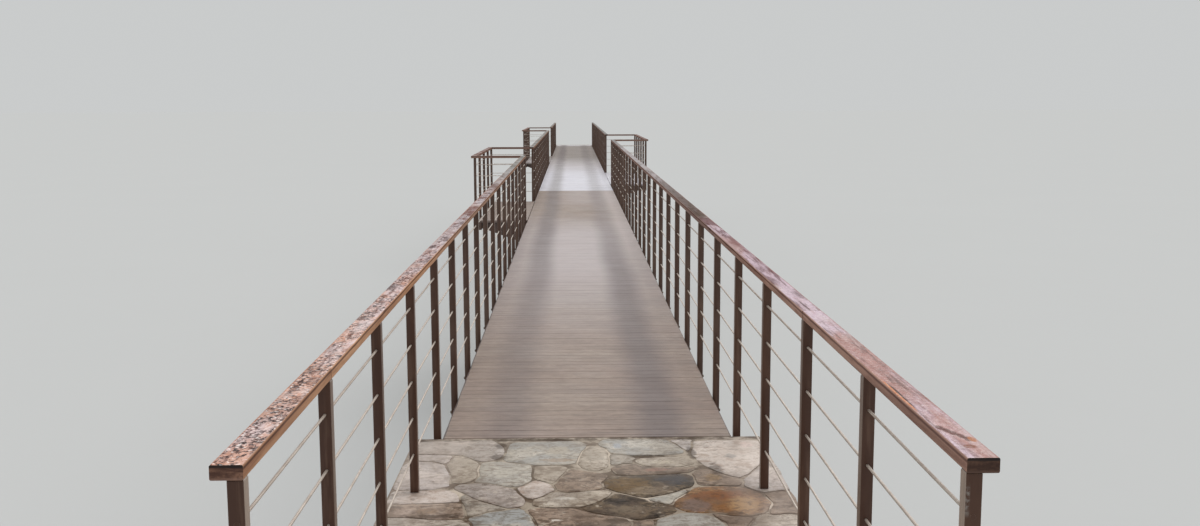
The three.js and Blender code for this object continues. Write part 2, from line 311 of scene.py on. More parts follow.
effect_group("timber grain", timber_grain, Tone=0.5, Fineness=90.0)
effect_group("mottle", mottle, Scale=6.0, Coverage=0.5, Softness=0.1)
effect_group("edge wear", edge_wear, Width=0.002, Broken=60.0)
effect_group("shade_and_grime", shade_and_grime, Reach=0.03, Broken=25.0)
effect_group("rain streaks", rain_streaks, Scale=18.0)
effect_group("water film", water_film, Scale=120.0, Coverage=0.5)


class Finish(Shading):
    """One material with a Principled shader, whose colour is laid on coat by coat."""

    def __init__(self, name, roughness=0.5, metallic=0.0, specular=0.5):
        self.material = bpy.data.materials.new(name)
        self.material.use_nodes = True
        super().__init__(self.material.node_tree)
        self.shader = self.tree.nodes["Principled BSDF"]
        self.set("Roughness", roughness)
        self.set("Metallic", metallic)
        self.set("Specular IOR Level", specular)
        self.place = self.node("TexCoord").outputs["Object"]
        self.colour = None

    @cached_property
    def axes(self):
        return self.parts(self.place)

    @cached_property
    def tone(self):
        return self.node("Attribute", {"attribute_name": "tone"}).outputs["Fac"]

    x = property(lambda finish: finish.axes[0])
    y = property(lambda finish: finish.axes[1])
    z = property(lambda finish: finish.axes[2])

    def set(self, label, value):
        self.feed(self.shader.inputs[label], value)

    def effect(self, name, vector=None, **values):
        """Places a shared effect with its own values."""
        return self.node("Group", {"node_tree": GROUPS[name]}, Vector=vector or self.place, **values).outputs

    def grain(self, fineness, vector=None):
        return list(self.effect("timber grain", vector, Tone=self.tone, Fineness=fineness))

    def mottle(self, scale, coverage=0.5, softness=0.1, vector=None):
        return self.effect("mottle", vector, Scale=scale, Coverage=coverage, Softness=softness)[0]

    def wear(self, width, broken):
        return self.effect("edge wear", Width=width, Broken=broken)[0]

    def shade_and_grime(self, reach, broken):
        return self.effect("shade_and_grime", Reach=reach, Broken=broken)[0]

    def streaks(self, scale):
        return self.effect("rain streaks", Scale=scale)[0]

    def turned(self, scales, turn=0.0):
        return self.stretched(self.place, scales, turn)

    def mark(self, x, y, wide, long, frayed=0.6):
        """A ragged oval mark on the surface, by its middle and half sizes."""
        oval = self.node("Mapping", Vector=self.place, Location=(-x / wide, -y / long, 0),
                         Scale=(1 / wide, 1 / long, 0))
        length = self.node("VectorMath", {"operation": "LENGTH"}, Vector=oval.outputs["Vector"])
        ragged = self.both(self.clouds(self.place, 70.0, 4.0, 0.65), frayed)
        return self.ramp(self.calc("ADD", length.outputs["Value"], ragged), 0.95, 1.4, 1.0, 0.0)

    def landing_mark(self, x, out, wide, long, frayed):
        """A mark on the near landing, in centimetres right of the middle and out from the boards."""
        return self.mark(x / 100, LANDING_EDGE - out / 100, wide / 100, long / 100, frayed)

    def blend(self, mask, first, second, strength=1.0):
        """A colour between two, each a display colour or a socket, by a mask."""
        node = self.node("Mix", {"data_type": "RGBA"}, Factor=self.calc("MULTIPLY", mask, strength, True))
        for socket, value in ((node.inputs[6], first), (node.inputs[7], second)):
            self.feed(socket, srgb(*value) if isinstance(value, tuple) else value)
        return node.outputs[2]

    def lay(self, mask, colour, strength=1.0):
        """One more coat over what is there, where the mask lets it."""
        self.colour = self.blend(mask, self.colour, colour, strength)

    def done(self, *reliefs):
        """Paints the colour, adds bumps of a height, strength and depth in metres, gives the material."""
        self.set("Base Color", self.colour)
        normal = None
        for height, strength, depth in reliefs:
            bump = self.node("Bump", Strength=strength, Distance=depth, Height=height)
            if normal:
                self.feed(bump.inputs["Normal"], normal)
            normal = bump.outputs["Normal"]
        if normal:
            self.set("Normal", normal)
        return self.material


def floor_finish():
    floor = Finish("pale_studio_floor", roughness=1.0, specular=0.0)
    floor.colour = floor.blend(floor.mottle(0.4, 0.5, 0.4), (197, 198, 198), (198, 199, 199))
    return floor.done()


# Finishes of the bridge. Places across, along and up are in metres of the model.

def deck_board_finish():
    """Grey-brown boards, worn in two dark walking lines, paler by the first balcony, and wet past it with a
    painted pale sheen.
    """
    deck = Finish("weathered_deck_boards")
    across, along = deck.x, deck.y
    out = deck.calc("ABSOLUTE", across)
    fibres, figure, checks = deck.grain(150.0)
    deck.colour = deck.blend(deck.tone, (143, 125, 113), (155, 137, 124))
    deck.lay(deck.ramp(figure, 0.35, 0.7), (164, 147, 133), 0.35)
    deck.lay(deck.ramp(fibres, 0.42, 0.7), (112, 96, 88), 0.28)
    deck.lay(deck.mottle(1.6, 0.5, 0.18), (150, 126, 118), 0.4)
    for size, share in ((9.0, 0.38), (34.0, 0.40), (85.0, 0.30)):
        deck.lay(deck.mottle(size, 0.47, 0.10, deck.turned((0.6, 1, 1))), (120, 104, 95), share)
    inward = deck.ramp(out, 0.13, 0.30, 1.0, 0.64)
    deck.lay(deck.both(deck.band(along, -9.3, -6.4, -5.4, -3.6), inward), (190, 181, 184), 0.68)
    up_to_wet = (WET_EDGE - 0.02, WET_EDGE + 0.02)
    lighter = deck.both(deck.band(along, -3.6, -2.3, *up_to_wet), deck.ramp(across, -0.25, 0.02))
    deck.lay(lighter, (190, 180, 182), 0.36)
    right_side = deck.both(deck.band(along, -6.9, -4.8, *up_to_wet), deck.ramp(across, 0.10, 0.30))
    deck.lay(right_side, (196, 184, 182), 0.58)
    deck.lay(deck.ramp(along, 2.5, 5.5), (135, 128, 124), 0.75)
    # Past the wet edge the boards are painted pale blue-white: a painted reflection of the sky on wet wood.
    film = deck.mottle(2.2, 0.6, 0.3, deck.turned((1, 0.5, 1)))
    soaked_with_painted_sheen = deck.band(along, WET_EDGE - 0.04, WET_EDGE + 0.04, 0.0, 6.4)
    soaked_with_painted_sheen = deck.both(soaked_with_painted_sheen, deck.ramp(film, 0.0, 1.0, 0.78, 1.0))
    deck.lay(soaked_with_painted_sheen, (208, 207, 220), 0.92)
    # A painted reflection: a pale blue-white strip across the last boards of the far end.
    deck.lay(deck.band(along, 11.02, 11.10, 11.42, 11.5), (212, 212, 222), 0.75)
    wander = deck.calc("SUBTRACT", deck.clouds(deck.turned((0.6, 0.5, 1)), 1.5, 2.0), 0.5)
    place = deck.calc("ADD", across, deck.both(wander, 0.05))
    worn = deck.both(deck.ramp(out, 0.26, 0.352), deck.ramp(along, -9.0, -6.0, 0.10, 0.24))
    for middle, half, wear in ((-0.205, 0.105, deck.ramp(along, -9.6, -5.2, 0.60, 0.94)),
                               (0.190, 0.11, deck.ramp(along, -8.0, -4.0, 1.0, 0.62))):
        away = deck.calc("ABSOLUTE", deck.calc("SUBTRACT", place, middle))
        walked = deck.both(deck.ramp(away, 0.12 * half, half, 1.0, 0.0), wear)
        worn = deck.calc("MAXIMUM", worn, walked)
    deck.lay(worn, (94, 82, 83), 0.72)
    deck.lay(checks, (84, 72, 64), 0.4)
    # Painted shade, with some dirt, in the joints between the boards.
    deck.lay(deck.shade_and_grime(0.004, 40.0), (74, 62, 54), 0.5)
    dry = deck.ramp(deck.mottle(3.5, 0.5, 0.16), 0.0, 1.0, 0.56, 0.48)
    wetter = deck.calc("SUBTRACT", dry, deck.both(soaked_with_painted_sheen, 0.16))
    fibrous = deck.both(deck.calc("SUBTRACT", fibres, 0.5), 0.2)
    deck.set("Roughness", deck.calc("ADD", wetter, fibrous, True))
    gloss = deck.ramp(along, -7.0, 5.0, 0.20, 0.05)
    deck.set("Specular IOR Level", deck.calc("ADD", gloss, deck.both(soaked_with_painted_sheen, 0.40)))
    return deck.done((deck.both(fibres, deck.ramp(along, -9.0, -4.0, 1.0, 0.15)), 0.25, 0.0005))


def handrail_finish(name, light, dark, side, ruddy, bloom_and_sheen, silver, spot, cover, stretch, speckle, turn=90):
    """Red-brown hardwood: pale bloom with painted sheen, rain beads with painted glints on top, a pale inner
    arris, cleaner sides.
    """
    rail = Finish(name, roughness=0.42)
    vector = rail.turned((1, 1, 1), math.radians(turn))
    long_grain = rail.stretched(vector, (stretch, 1, 1))
    other_grain = rail.shifted(long_grain, rail.tone)
    along = rail.y
    away = rail.ramp(along, -10.7, -8.9)
    nearby = rail.calc("SUBTRACT", 1.0, rail.both(away, 0.5))
    fibres, figure, checks = rail.grain(170.0, vector)

    rail.colour = side
    rail.lay(rail.ramp(figure, 0.42, 0.66), dark, 0.42)
    rail.lay(rail.ramp(fibres, 0.42, 0.7), dark, 0.42)
    rail.lay(away, (134, 122, 120), 0.50)
    drawn_under = [RAIL_HIGH.z - drop for drop in (0.0062, 0.0046, 0.0030, 0.0016)]
    rail.lay(rail.band(rail.z, *drawn_under), spot, 0.72)
    plain = rail.colour

    # The bloom colour is partly real weathering and partly a painted sheen of water on the top.
    rail.colour = rail.blend(rail.mottle(17.0, cover(rail), 0.10, long_grain), ruddy, bloom_and_sheen)
    rail.lay(rail.mottle(48.0, 0.44, 0.06, other_grain), light, 0.38)
    rail.lay(rail.both(away, rail.ramp(figure, 0.3, 0.7, 1.0, 0.7)), silver, 0.74)
    rail.lay(rail.ramp(fibres, 0.50, 0.72), dark, 0.42)
    clustered = rail.both(rail.mottle(170.0, 0.49, 0.03, vector), rail.mottle(40.0, 0.56, 0.08, long_grain))
    rail.lay(rail.both(clustered, nearby), spot, speckle)
    # Painted highlights: pale glints of light on the rain beads, fewer far off.
    painted_glints = rail.mottle(170.0, 0.41, 0.05, rail.shifted(vector, rail.tone))
    rail.lay(rail.both(painted_glints, nearby), (255, 240, 236), 0.85 * speckle)
    rail.lay(rail.mottle(75.0, 0.42, 0.05, rail.stretched(other_grain, (0.4, 1, 1))), dark, 0.66)
    soiled = rail.mottle(19.0, 0.42, 0.05, other_grain)
    rail.lay(rail.both(soiled, rail.ramp(along, -11.5, -11.0, 0.25, 1.0)), spot, 0.60)
    rail.lay(rail.mottle(15.0, 0.42, 0.06, rail.shifted(other_grain, rail.tone)), (220, 204, 202), 0.42)
    rail.lay(rail.both(rail.mottle(8.0, 0.46, 0.06, other_grain), away), dark, 0.72)
    if turn:
        weathered_and_shaded_stretches(rail, long_grain, nearby, light)
    rail.colour = rail.blend(rail.ramp(rail.facing()[2], 0.6, 0.9), plain, rail.colour)
    rail.lay(rail.wear(0.0022, 80.0), (206, 160, 132), 0.45)
    rail.lay(checks, (46, 26, 20), 0.75)
    wet = rail.effect("water film", vector, Scale=110.0, Coverage=0.5)[0]
    dry = rail.ramp(fibres, 0.3, 0.7, 0.38, 0.54)
    rail.set("Roughness", rail.calc("ADD", dry, rail.both(wet, -0.24), True))
    rail.set("Specular IOR Level", rail.ramp(along, -11.4, -10.2, 0.05, 0.0))
    return rail.done((fibres, 0.3, 0.0005), (checks, -0.6, 0.0008), (wet, 0.4, 0.0006))


def weathered_and_shaded_stretches(rail, long_grain, nearby, light):
    """What only the long handrails have: painted shade on two stretches of the right rail, dull stretches
    far off, pale arrises, chips at the near ends.
    """
    along = rail.y
    right = rail.ramp(rail.x, 0.0, 0.1)
    # Painted shadow over a stretch of the right handrail.
    rail.lay(rail.both(rail.band(along, -9.12, -8.92, -7.7, -6.3), right), (92, 82, 72), 0.78)
    rail.lay(rail.ramp(along, -8.6, -5.6), rail.blend(right, (140, 148, 144), (168, 170, 168)), 0.62)
    # Painted shade on the right handrail's far stretch.
    rail.lay(rail.both(rail.ramp(along, -2.6, -0.6), right), (112, 116, 112), 0.50)
    out = rail.calc("ABSOLUTE", rail.x)
    frayed = rail.both(rail.clouds(long_grain, 60.0, 3.0), 0.002)
    inner_line = rail.ramp(rail.calc("ADD", out, frayed), 0.3638, 0.3652, 1.0, 0.0)
    rail.lay(rail.both(inner_line, nearby), (218, 180, 156), 0.62)
    outer_line = rail.ramp(rail.calc("SUBTRACT", out, frayed), 0.3915, 0.3945)
    rail.lay(rail.both(outer_line, rail.mottle(9.0, 0.55, 0.08, long_grain)), light, 0.8)
    rail.lay(rail.mark(0.3650, -11.30, 0.0022, 0.075, 0.3), (206, 128, 76), 0.8)
    chips = [(0.386 - 0.0042 * step, -11.492 + 0.011 * step, 0.0052, 0.011, (92, 48, 38))
             for step in range(5)]
    chips += [(0.379, -11.520, 0.0075, 0.008, (132, 82, 64)),
              (0.390, -11.494, 0.0044, 0.012, (176, 108, 62)),
              (0.3672, -11.30, 0.0014, 0.075, (36, 18, 15))]
    for x, y, wide, long, colour in chips:
        rail.lay(rail.both(rail.mark(x, y, wide, long, 0.7), right), colour, 0.85)


def left_cover(rail):
    """How far the lilac bloom, with its painted sheen, spreads over the ruddy wood of the left handrail."""
    return rail.ramp(rail.y, -11.4, -9.8, 0.46, 0.58)


def right_cover(rail):
    """The same on the right: an even film near its second post."""
    film = rail.both(rail.band(rail.y, -10.98, -10.8, -10.4, -10.2), 0.26)
    return rail.calc("ADD", rail.ramp(rail.y, -9.7, -9.0, 0.48, 0.52), film)


def cross_cover(rail):
    """Bloom with painted sheen on the balcony handrails, in broad stretches."""
    return rail.ramp(rail.clouds(rail.place, 1.5), 0.35, 0.65, 0.50, 0.58)


def end_grain_finish():
    """Sawn ends of the handrails, streaked, near black under the top, and darker on the right."""
    end = Finish("handrail_end_grain", specular=0.3)
    streaks = end.clouds(end.turned((0.5, 1, 3.0)), 60.0, 4.0, 0.6, 0.5)
    fine = end.clouds(end.place, 300.0, 3.0)
    end.colour = end.blend(end.ramp(streaks, 0.38, 0.66), (84, 54, 42), (140, 102, 82))
    end.lay(end.ramp(fine, 0.46, 0.66), (66, 38, 32), 0.45)
    end.lay(end.ramp(end.z, RAIL_HIGH.z - 0.0155, RAIL_HIGH.z - 0.0120, 1.0, 0.0), (150, 118, 104), 0.5)
    end.lay(end.ramp(end.x, 0.0, 0.1), (48, 29, 18), 0.60)
    end.lay(end.ramp(end.z, RAIL_HIGH.z - 0.0042, RAIL_HIGH.z - 0.0022), (22, 15, 14), 0.9)
    return end.done((fine, 0.3, 0.0004))


def post_paint_finish():
    """Dark red-brown paint on square tube, chalked in patches, rubbed at the corners, side faces painted
    lighter as lit.
    """
    post = Finish("dark_brown_post_paint", specular=0.28)
    chalk = post.mottle(16.0, 0.45, 0.15, post.turned((1, 1, 0.35)))
    post.colour = post.blend(chalk, (80, 54, 42), (100, 72, 58), 0.8)
    post.lay(post.tone, (70, 46, 37), 0.45)
    dusty = post.both(post.ramp(post.y, -10.6, -8.4), post.ramp(chalk, 0.0, 1.0, 0.5, 1.0))
    post.lay(dusty, (126, 114, 106), 0.34)
    # Painted light: the side faces are laid paler, as lit, most on the near posts.
    painted_lit_sides = post.ramp(post.calc("ABSOLUTE", post.facing()[0]), 0.3, 0.8)
    post.lay(post.both(painted_lit_sides, post.ramp(post.y, -11.50, -10.95, 0.62, 0.16)), (196, 178, 164))
    post.lay(post.streaks(90.0), (124, 98, 82), 0.35)
    scuffed = post.both(post.band(post.x, 0.3625, 0.3635, 0.3660, 0.3685),
                        post.band(post.z, 1.745, 1.755, 1.775, 1.785))
    scuffed = post.both(scuffed, post.ramp(post.y, -11.50, -11.45, 1.0, 0.0))
    post.lay(post.both(scuffed, post.mottle(190.0)), (150, 142, 136), 0.75)
    # Painted shade, with some dirt, in the corners of the posts and under the handrail.
    post.lay(post.shade_and_grime(0.012, 60.0), (40, 28, 22), 0.7)
    post.lay(post.wear(0.0012, 110.0), (150, 122, 102), 0.5)
    post.set("Roughness", post.ramp(chalk, 0.0, 1.0, 0.30, 0.46))
    return post.done((post.clouds(post.place, 380.0, 3.0), 0.12, 0.0004))


def steelwork_finish():
    """Brown painted beams and brackets, with rust bleeding from the edges, and dirt with painted shade on
    the flanges.
    """
    steel = Finish("brown_steelwork_paint")
    steel.colour = steel.blend(steel.mottle(4.0, 0.5, 0.2), (70, 52, 46), (88, 68, 60))
    steel.lay(steel.streaks(22.0), (106, 86, 74), 0.4)
    rust = steel.both(steel.mottle(26.0, 0.33, 0.05), 0.45)
    rusted = steel.calc("MAXIMUM", rust, steel.wear(0.004, 24.0))
    steel.lay(rusted, (122, 70, 42), 0.55)
    # Painted shade, with dirt, where flanges, webs and brackets meet.
    steel.lay(steel.shade_and_grime(0.05, 14.0), (46, 38, 32), 0.7)
    steel.set("Roughness", steel.ramp(rusted, 0.0, 1.0, 0.44, 0.8))
    return steel.done((steel.clouds(steel.place, 160.0), 0.2, 0.0006), (rusted, 0.4, 0.0004))


def wire_rope_finish():
    """Weathered galvanised strands: the lay shows as fine slanted ridges with painted shade in the grooves,
    and the sleeves are paler.
    """
    rope = Finish("weathered_wire_rope", roughness=0.45, metallic=0.25)
    twist = rope.node("TexWave", {"wave_type": "BANDS", "bands_direction": "DIAGONAL"}, Scale=130.0,
                      Vector=rope.turned((2.4, 1.3, 2.4))).outputs["Fac"]
    strand = rope.blend(rope.mottle(30.0, 0.5, 0.15), (232, 220, 208), (204, 190, 178))
    # The grooves between strands are painted darker, as shade.
    rope.colour = rope.blend(twist, (166, 151, 139), strand)
    sleeve = rope.ramp(rope.tone, 0.54, 0.58)
    rope.lay(sleeve, (244, 240, 232))
    return rope.done((rope.both(twist, rope.ramp(sleeve, 0.0, 1.0, 1.0, 0.0)), 0.5, 0.0005))


def fastener_finish():
    bolt = Finish("dulled_fasteners", roughness=0.45, metallic=0.8)
    bolt.colour = bolt.blend(bolt.mottle(90.0), (120, 112, 104), (84, 66, 54))
    return bolt.done()


def stone_finish(name, sheen, body, patch, vein, marks, roughness, paving):
    """Split stone: cloudy patches, brown veins, fine grit, mortar smeared on the rim and damp places."""
    rock = Finish(name, specular=sheen)
    vector = rock.shifted(rock.place, rock.tone)
    soft, clouded, brightened, cleft = (1.0, 0.75, 0.50, 0.35) if paving else (2.2, 0.42, 0.30, 0.6)
    broad = rock.mottle(10.0, 0.5, 0.06 * soft, vector)
    rock.colour = rock.blend(broad, body, patch)
    rock.lay(rock.mottle(30.0, 0.42, 0.05 * soft, vector), vein, clouded)
    rock.lay(rock.both(rock.mottle(50.0, 0.40, 0.05, vector), broad), (214, 202, 186), brightened)
    veins = rock.clouds(rock.stretched(vector, (1.0, 2.6, 1.0)), 20.0, 5.0, 0.6, 1.4)
    rock.lay(rock.ramp(veins, 0.55, 0.62), vein, 0.8)
    for x, out, wide, long, colour in marks if paving else ():
        rock.lay(rock.landing_mark(x, out, wide, long, 1.0), colour, 0.82)
    rock.lay(rock.mottle(70.0, 0.44, 0.05, vector), vein, 0.50)
    grit = rock.clouds(vector, 200.0, 4.0, 0.7)
    rock.lay(rock.ramp(grit, 0.45, 0.8), (60, 52, 45), 0.3)
    fade = rock.node("Attribute", {"attribute_name": "fade"}).outputs["Fac"]
    rock.lay(rock.both(rock.ramp(fade, 0.86, 0.98), rock.mottle(24.0, 0.44, 0.08)), MORTAR_PALE, 0.7)
    # A darker line round each stone's rim, where it meets the joint.
    rock.lay(rock.both(rock.ramp(fade, 0.955, 0.985), rock.mottle(11.0, 0.54, 0.08)), DIRT_AND_SHADE, 0.7)
    wash_with_dirt_and_shade(rock, paving)
    wet = rock.both(rock.mottle(13.0, 0.45, 0.08), 0.22 if paving else 0.0)
    rough = rock.both(rock.calc("SUBTRACT", grit, 0.5), 0.25)
    rock.set("Roughness", rock.calc("ADD", rock.calc("SUBTRACT", rough, wet), roughness, True))
    return rock.done((rock.clouds(vector, 34.0, 6.0, 0.6), cleft, 0.003), (grit, 0.25, 0.0008))


def wash_with_dirt_and_shade(rock, paving):
    """Brown dirt that runs over stones and joints alike, thickest away from the boards, and dirt with
    painted shade in hollows.
    """
    wash = rock.mottle(8.0, 0.46, 0.08)
    fine = rock.mottle(42.0, 0.40, 0.05)
    if paving:
        rinsed = rock.ramp(rock.y, LANDING_EDGE - 0.55, LANDING_EDGE - 0.10)
        rock.lay(rinsed, (212, 202, 190), 0.24)
        # Paler towards the sides of the landing.
        paler_towards_sides = rock.ramp(rock.calc("ABSOLUTE", rock.x), 0.27, 0.33)
        rock.lay(paler_towards_sides, (218, 202, 192), 0.26)
        wash = rock.both(wash, rock.ramp(rinsed, 0.0, 1.0, 1.0, 0.5))
        fine = rock.both(fine, rock.ramp(rinsed, 0.0, 1.0, 1.0, 0.7))
    share = 0.44 if paving else 0.34
    rock.lay(wash, (108, 92, 80), share)
    rock.lay(fine, (98, 83, 72), share)
    if paving:
        near_boards = rock.band(rock.y, LANDING_EDGE - 0.045, LANDING_EDGE - 0.012, 0.0, 1.0)
        rock.lay(rock.both(near_boards, rock.ramp(rock.clouds(rock.place, 30.0), 0.35, 0.6)), DIRT_AND_SHADE, 0.75)
        for spot in DIRTY_SPOTS:
            rock.lay(rock.landing_mark(*spot, 1.3), DIRT_AND_SHADE, 0.62)
    # Painted shade, with dirt, in the hollows between and under the stones.
    rock.lay(rock.shade_and_grime(0.008, 40.0), DIRT_AND_SHADE, 0.5)


def mortar_finish(name, pale, dark, paving):
    bed = Finish(name, roughness=0.8, specular=0.05)
    sand = bed.clouds(bed.place, 320.0, 4.0, 0.7)
    bed.colour = bed.blend(bed.mottle(11.0, 0.50, 0.05), pale, dark)
    bed.lay(bed.ramp(sand, 0.45, 0.75), dark, 0.4)
    for spot in PALE_JOINTS if paving else ():
        bed.lay(bed.landing_mark(*spot, 0.6), (204, 190, 174), 0.85)
    wash_with_dirt_and_shade(bed, paving)
    return bed.done((sand, 0.4, 0.0012))


def concrete_finish():
    """Cast concrete with faint board marks, pin holes, damp streaks and a dark foot."""
    cast = Finish("weathered_concrete", roughness=0.82)
    cast.colour = cast.blend(cast.mottle(3.0, 0.5, 0.25), (150, 147, 139), (168, 164, 156))
    cast.lay(cast.streaks(14.0), (104, 100, 92), 0.5)
    boards = cast.clouds(cast.turned((0.4, 0.4, 1)), 24.0, 1.0)
    cast.lay(cast.ramp(boards, 0.45, 0.6), (138, 134, 126), 0.35)
    holes = cast.clouds(cast.place, 210.0, 2.0)
    hole = cast.ramp(holes, 0.70, 0.76)
    cast.lay(hole, (70, 67, 62), 0.8)
    foot = cast.ramp(cast.z, 0.02, 0.32, 1.0, 0.0)
    cast.lay(cast.both(foot, cast.mottle(9.0, 0.55, 0.12)), (86, 88, 70), 0.7)
    # Painted shade, with dirt, in the corners between footing, lifts and cap.
    cast.lay(cast.shade_and_grime(0.06, 10.0), (84, 80, 72), 0.6)
    return cast.done((boards, 0.4, 0.002), (hole, -0.8, 0.002), (holes, 0.15, 0.001))


MORTAR_PALE = (164, 151, 136)
# Dark brown for earth and dirt, also laid as painted shade in the hollows of the stonework.
DIRT_AND_SHADE = (60, 45, 34)
# Earth gathered between the stones, and pale joints, in the same centimetres as the traced stones
DIRTY_SPOTS = ((-20.8, 16.5, 3.4, 5.0), (-21, 7, 2.2, 4.6), (14, 16.5, 9, 1.8), (24.2, 14, 1.8, 9.0),
               (28.5, 27, 2.4, 8.0), (-10, 2, 16, 2.2), (3.5, 66, 6, 5.0), (-31, 56, 9, 2.2))
PALE_JOINTS = ((7, 57.5, 8, 1.6), (12.5, 46.5, 7, 1.6), (1.5, 9, 3.0, 1.2), (-1.9, 17, 1.2, 8),
               (4.4, 17, 1.0, 8), (17, 45, 4, 3.4), (37.5, 50, 2, 6), (-25, 26, 1.4, 5), (-28.5, 42, 2, 4))

# Each kind's sheen, body, patches, veins and the marks on its traced stones
STONE_KINDS = {
    "rose": (0.10, (158, 146, 139), (174, 159, 150), (108, 92, 81), ()),
    "grey_tan": (0.06, (148, 139, 128), (168, 156, 143), (98, 82, 67), ()),
    "lilac": (0.10, (173, 163, 161), (193, 180, 174), (126, 111, 101), ()),
    "pink": (0.10, (201, 187, 178), (215, 202, 194), (160, 135, 119),
             ((33, 17, 1.8, 2.4, (122, 120, 122)), (38, 8, 2.4, 3.4, (210, 180, 172)))),
    "pale_grey": (0.10, (158, 152, 143), (176, 169, 157), (112, 98, 84), ()),
    "blue_grey": (0.10, (148, 147, 144), (174, 166, 154), (104, 94, 82),
                  ((-7, 11, 4, 4, (178, 167, 150)), (-7, 19, 6, 2.0, (132, 104, 76)),
                   (7, 8, 1.6, 3.0, (132, 142, 156)))),
    "tan": (0.06, (163, 149, 133), (187, 173, 157), (110, 91, 72),
            ((-5, 46, 3, 1.4, (220, 212, 200)), (17, 21.5, 4, 1.8, (200, 187, 166)),
             (1.3, 16, 3.0, 6.0, (152, 139, 124)))),
    "brown": (0.02, (132, 112, 97), (156, 135, 118), (80, 62, 49),
              ((-7, 59, 1.6, 0.7, (222, 214, 204)), (5, 59.5, 4, 2.4, (72, 57, 43)),
               (15, 27, 4, 1.6, (142, 100, 86)), (27, 33, 2.6, 3.6, (146, 114, 72)),
               (-33, 53, 3.0, 2.4, (120, 90, 56)), (-38, 53, 3, 2.4, (172, 150, 136)))),
    "slate": (0.01, (70, 60, 52), (118, 101, 82), (32, 27, 24),
              ((7.5, 37, 8.0, 7.0, (106, 80, 44)), (12.5, 41.5, 5.6, 4.2, (136, 118, 96)),
               (18.3, 34.0, 5.4, 5.6, (46, 48, 58)), (7, 53, 6, 3.4, (128, 114, 96)))),
    "rust": (0.01, (128, 98, 78), (150, 112, 76), (72, 50, 36),
             ((28.0, 48.5, 9.5, 9.0, (136, 92, 54)), (26.5, 44.8, 8.4, 4.4, (128, 78, 44)),
              (31.5, 50.5, 4.6, 6.6, (168, 130, 84)), (21.5, 51, 4.2, 5.4, (130, 106, 98)))),
}
STONE_ORDER = list(STONE_KINDS)
STONE_LOTS = (5, 5, 3, 1, 4, 4, 4, 5, 1, 0.5)

FINISHES = {
    "boards": deck_board_finish(),
    "left_rail": handrail_finish(
        "wet_red_brown_handrail", light=(190, 118, 80), dark=(108, 64, 50), side=(204, 156, 122),
        ruddy=(220, 172, 152), bloom_and_sheen=(220, 198, 198), silver=(184, 180, 186), spot=(52, 28, 25),
        cover=left_cover, stretch=0.42, speckle=1.0),
    "right_rail": handrail_finish(
        "damp_red_brown_handrail", light=(160, 108, 96), dark=(92, 56, 50), side=(186, 148, 132),
        ruddy=(180, 136, 130), bloom_and_sheen=(212, 190, 202), silver=(188, 174, 180), spot=(78, 46, 40),
        cover=right_cover, stretch=0.16, speckle=0.22),
    "cross_rail": handrail_finish(
        "wet_red_brown_cross_rail", light=(150, 96, 72), dark=(100, 58, 43), side=(160, 116, 90),
        ruddy=(160, 116, 98), bloom_and_sheen=(182, 164, 162), silver=(150, 140, 138), spot=(66, 38, 32),
        cover=cross_cover, stretch=0.3, speckle=0.4, turn=0),
    "rail_end": end_grain_finish(),
    "post": post_paint_finish(),
    "steel": steelwork_finish(),
    "rope": wire_rope_finish(),
    "fastener": fastener_finish(),
    "concrete": concrete_finish(),
    "paving_mortar": mortar_finish("paving_mortar", MORTAR_PALE, (84, 67, 51), True),
    "wall_mortar": mortar_finish("wall_mortar", (134, 126, 113), (92, 84, 73), False),
}
PAVING_STONES = [stone_finish(f"{kind}_flagstone", *STONE_KINDS[kind], 0.48, True) for kind in STONE_ORDER]
WALL_STONES = [stone_finish(f"{kind}_fieldstone", *STONE_KINDS[kind], 0.75, False) for kind in STONE_ORDER]


# Meshes

class Joinery:
    """Collects many small closed shapes and joins them into one mesh."""

    def __init__(self):
        self.points, self.faces = [], []
        self.slots, self.tones, self.fades = [], [], []

    def add(self, shape, slot=0, tone=0.5, fades=None):
        """Adds a shape with its finish, its tone, and how far out its points lie from a stone's middle."""
        points, faces = shape
        first = len(self.points)
        self.points.extend(points)
        self.faces.extend(tuple(first + corner for corner in face) for face in faces)
        self.slots.extend([slot] * len(faces))
        self.tones.extend([tone] * len(faces))
        self.fades.extend(fades or [0.0] * len(points))

    def make(self, name, finishes, smooth_under=35):
        mesh = bpy.data.meshes.new(name)
        mesh.from_pydata(self.points, [], self.faces)
        for finish in finishes:
            mesh.materials.append(finish)
        mesh.polygons.foreach_set("material_index", self.slots)
        mesh.attributes.new("tone", "FLOAT", "FACE").data.foreach_set("value", self.tones)
        if any(self.fades):
            mesh.attributes.new("fade", "FLOAT", "POINT").data.foreach_set("value", self.fades)
        mesh.polygons.foreach_set("use_smooth", [True] * len(self.faces))
        mesh.set_sharp_from_angle(angle=math.radians(smooth_under))
        mesh.update()
        piece = bpy.data.objects.new(name, mesh)
        scene.collection.objects.link(piece)
        return piece


def loft(rings):
    """A closed solid through rings of equal length, each turning left as seen against its own direction."""
    size = len(rings[0])
    points = [point for ring in rings for point in ring]
    faces = [tuple(reversed(range(size)))]
    for here in range(0, len(points) - size, size):
        for side in range(size):
            after = (side + 1) % size
            faces.append((here + side, here + after, here + size + after, here + size + side))
    faces.append(tuple(range(len(points) - size, len(points))))
    return points, faces


def rectangle(wide, high, corner, cuts=1):
    """A rectangle's outline with its corners cut or rounded."""
    outline = []
    for quarter, (u, v) in enumerate(((1, 1), (-1, 1), (-1, -1), (1, -1))):
        for cut in range(cuts + 1):
            angle = math.radians(90) * (quarter + cut / cuts)
            outline.append((u * (wide / 2 - corner) + corner * math.cos(angle),
                            v * (high / 2 - corner) + corner * math.sin(angle)))
    return outline


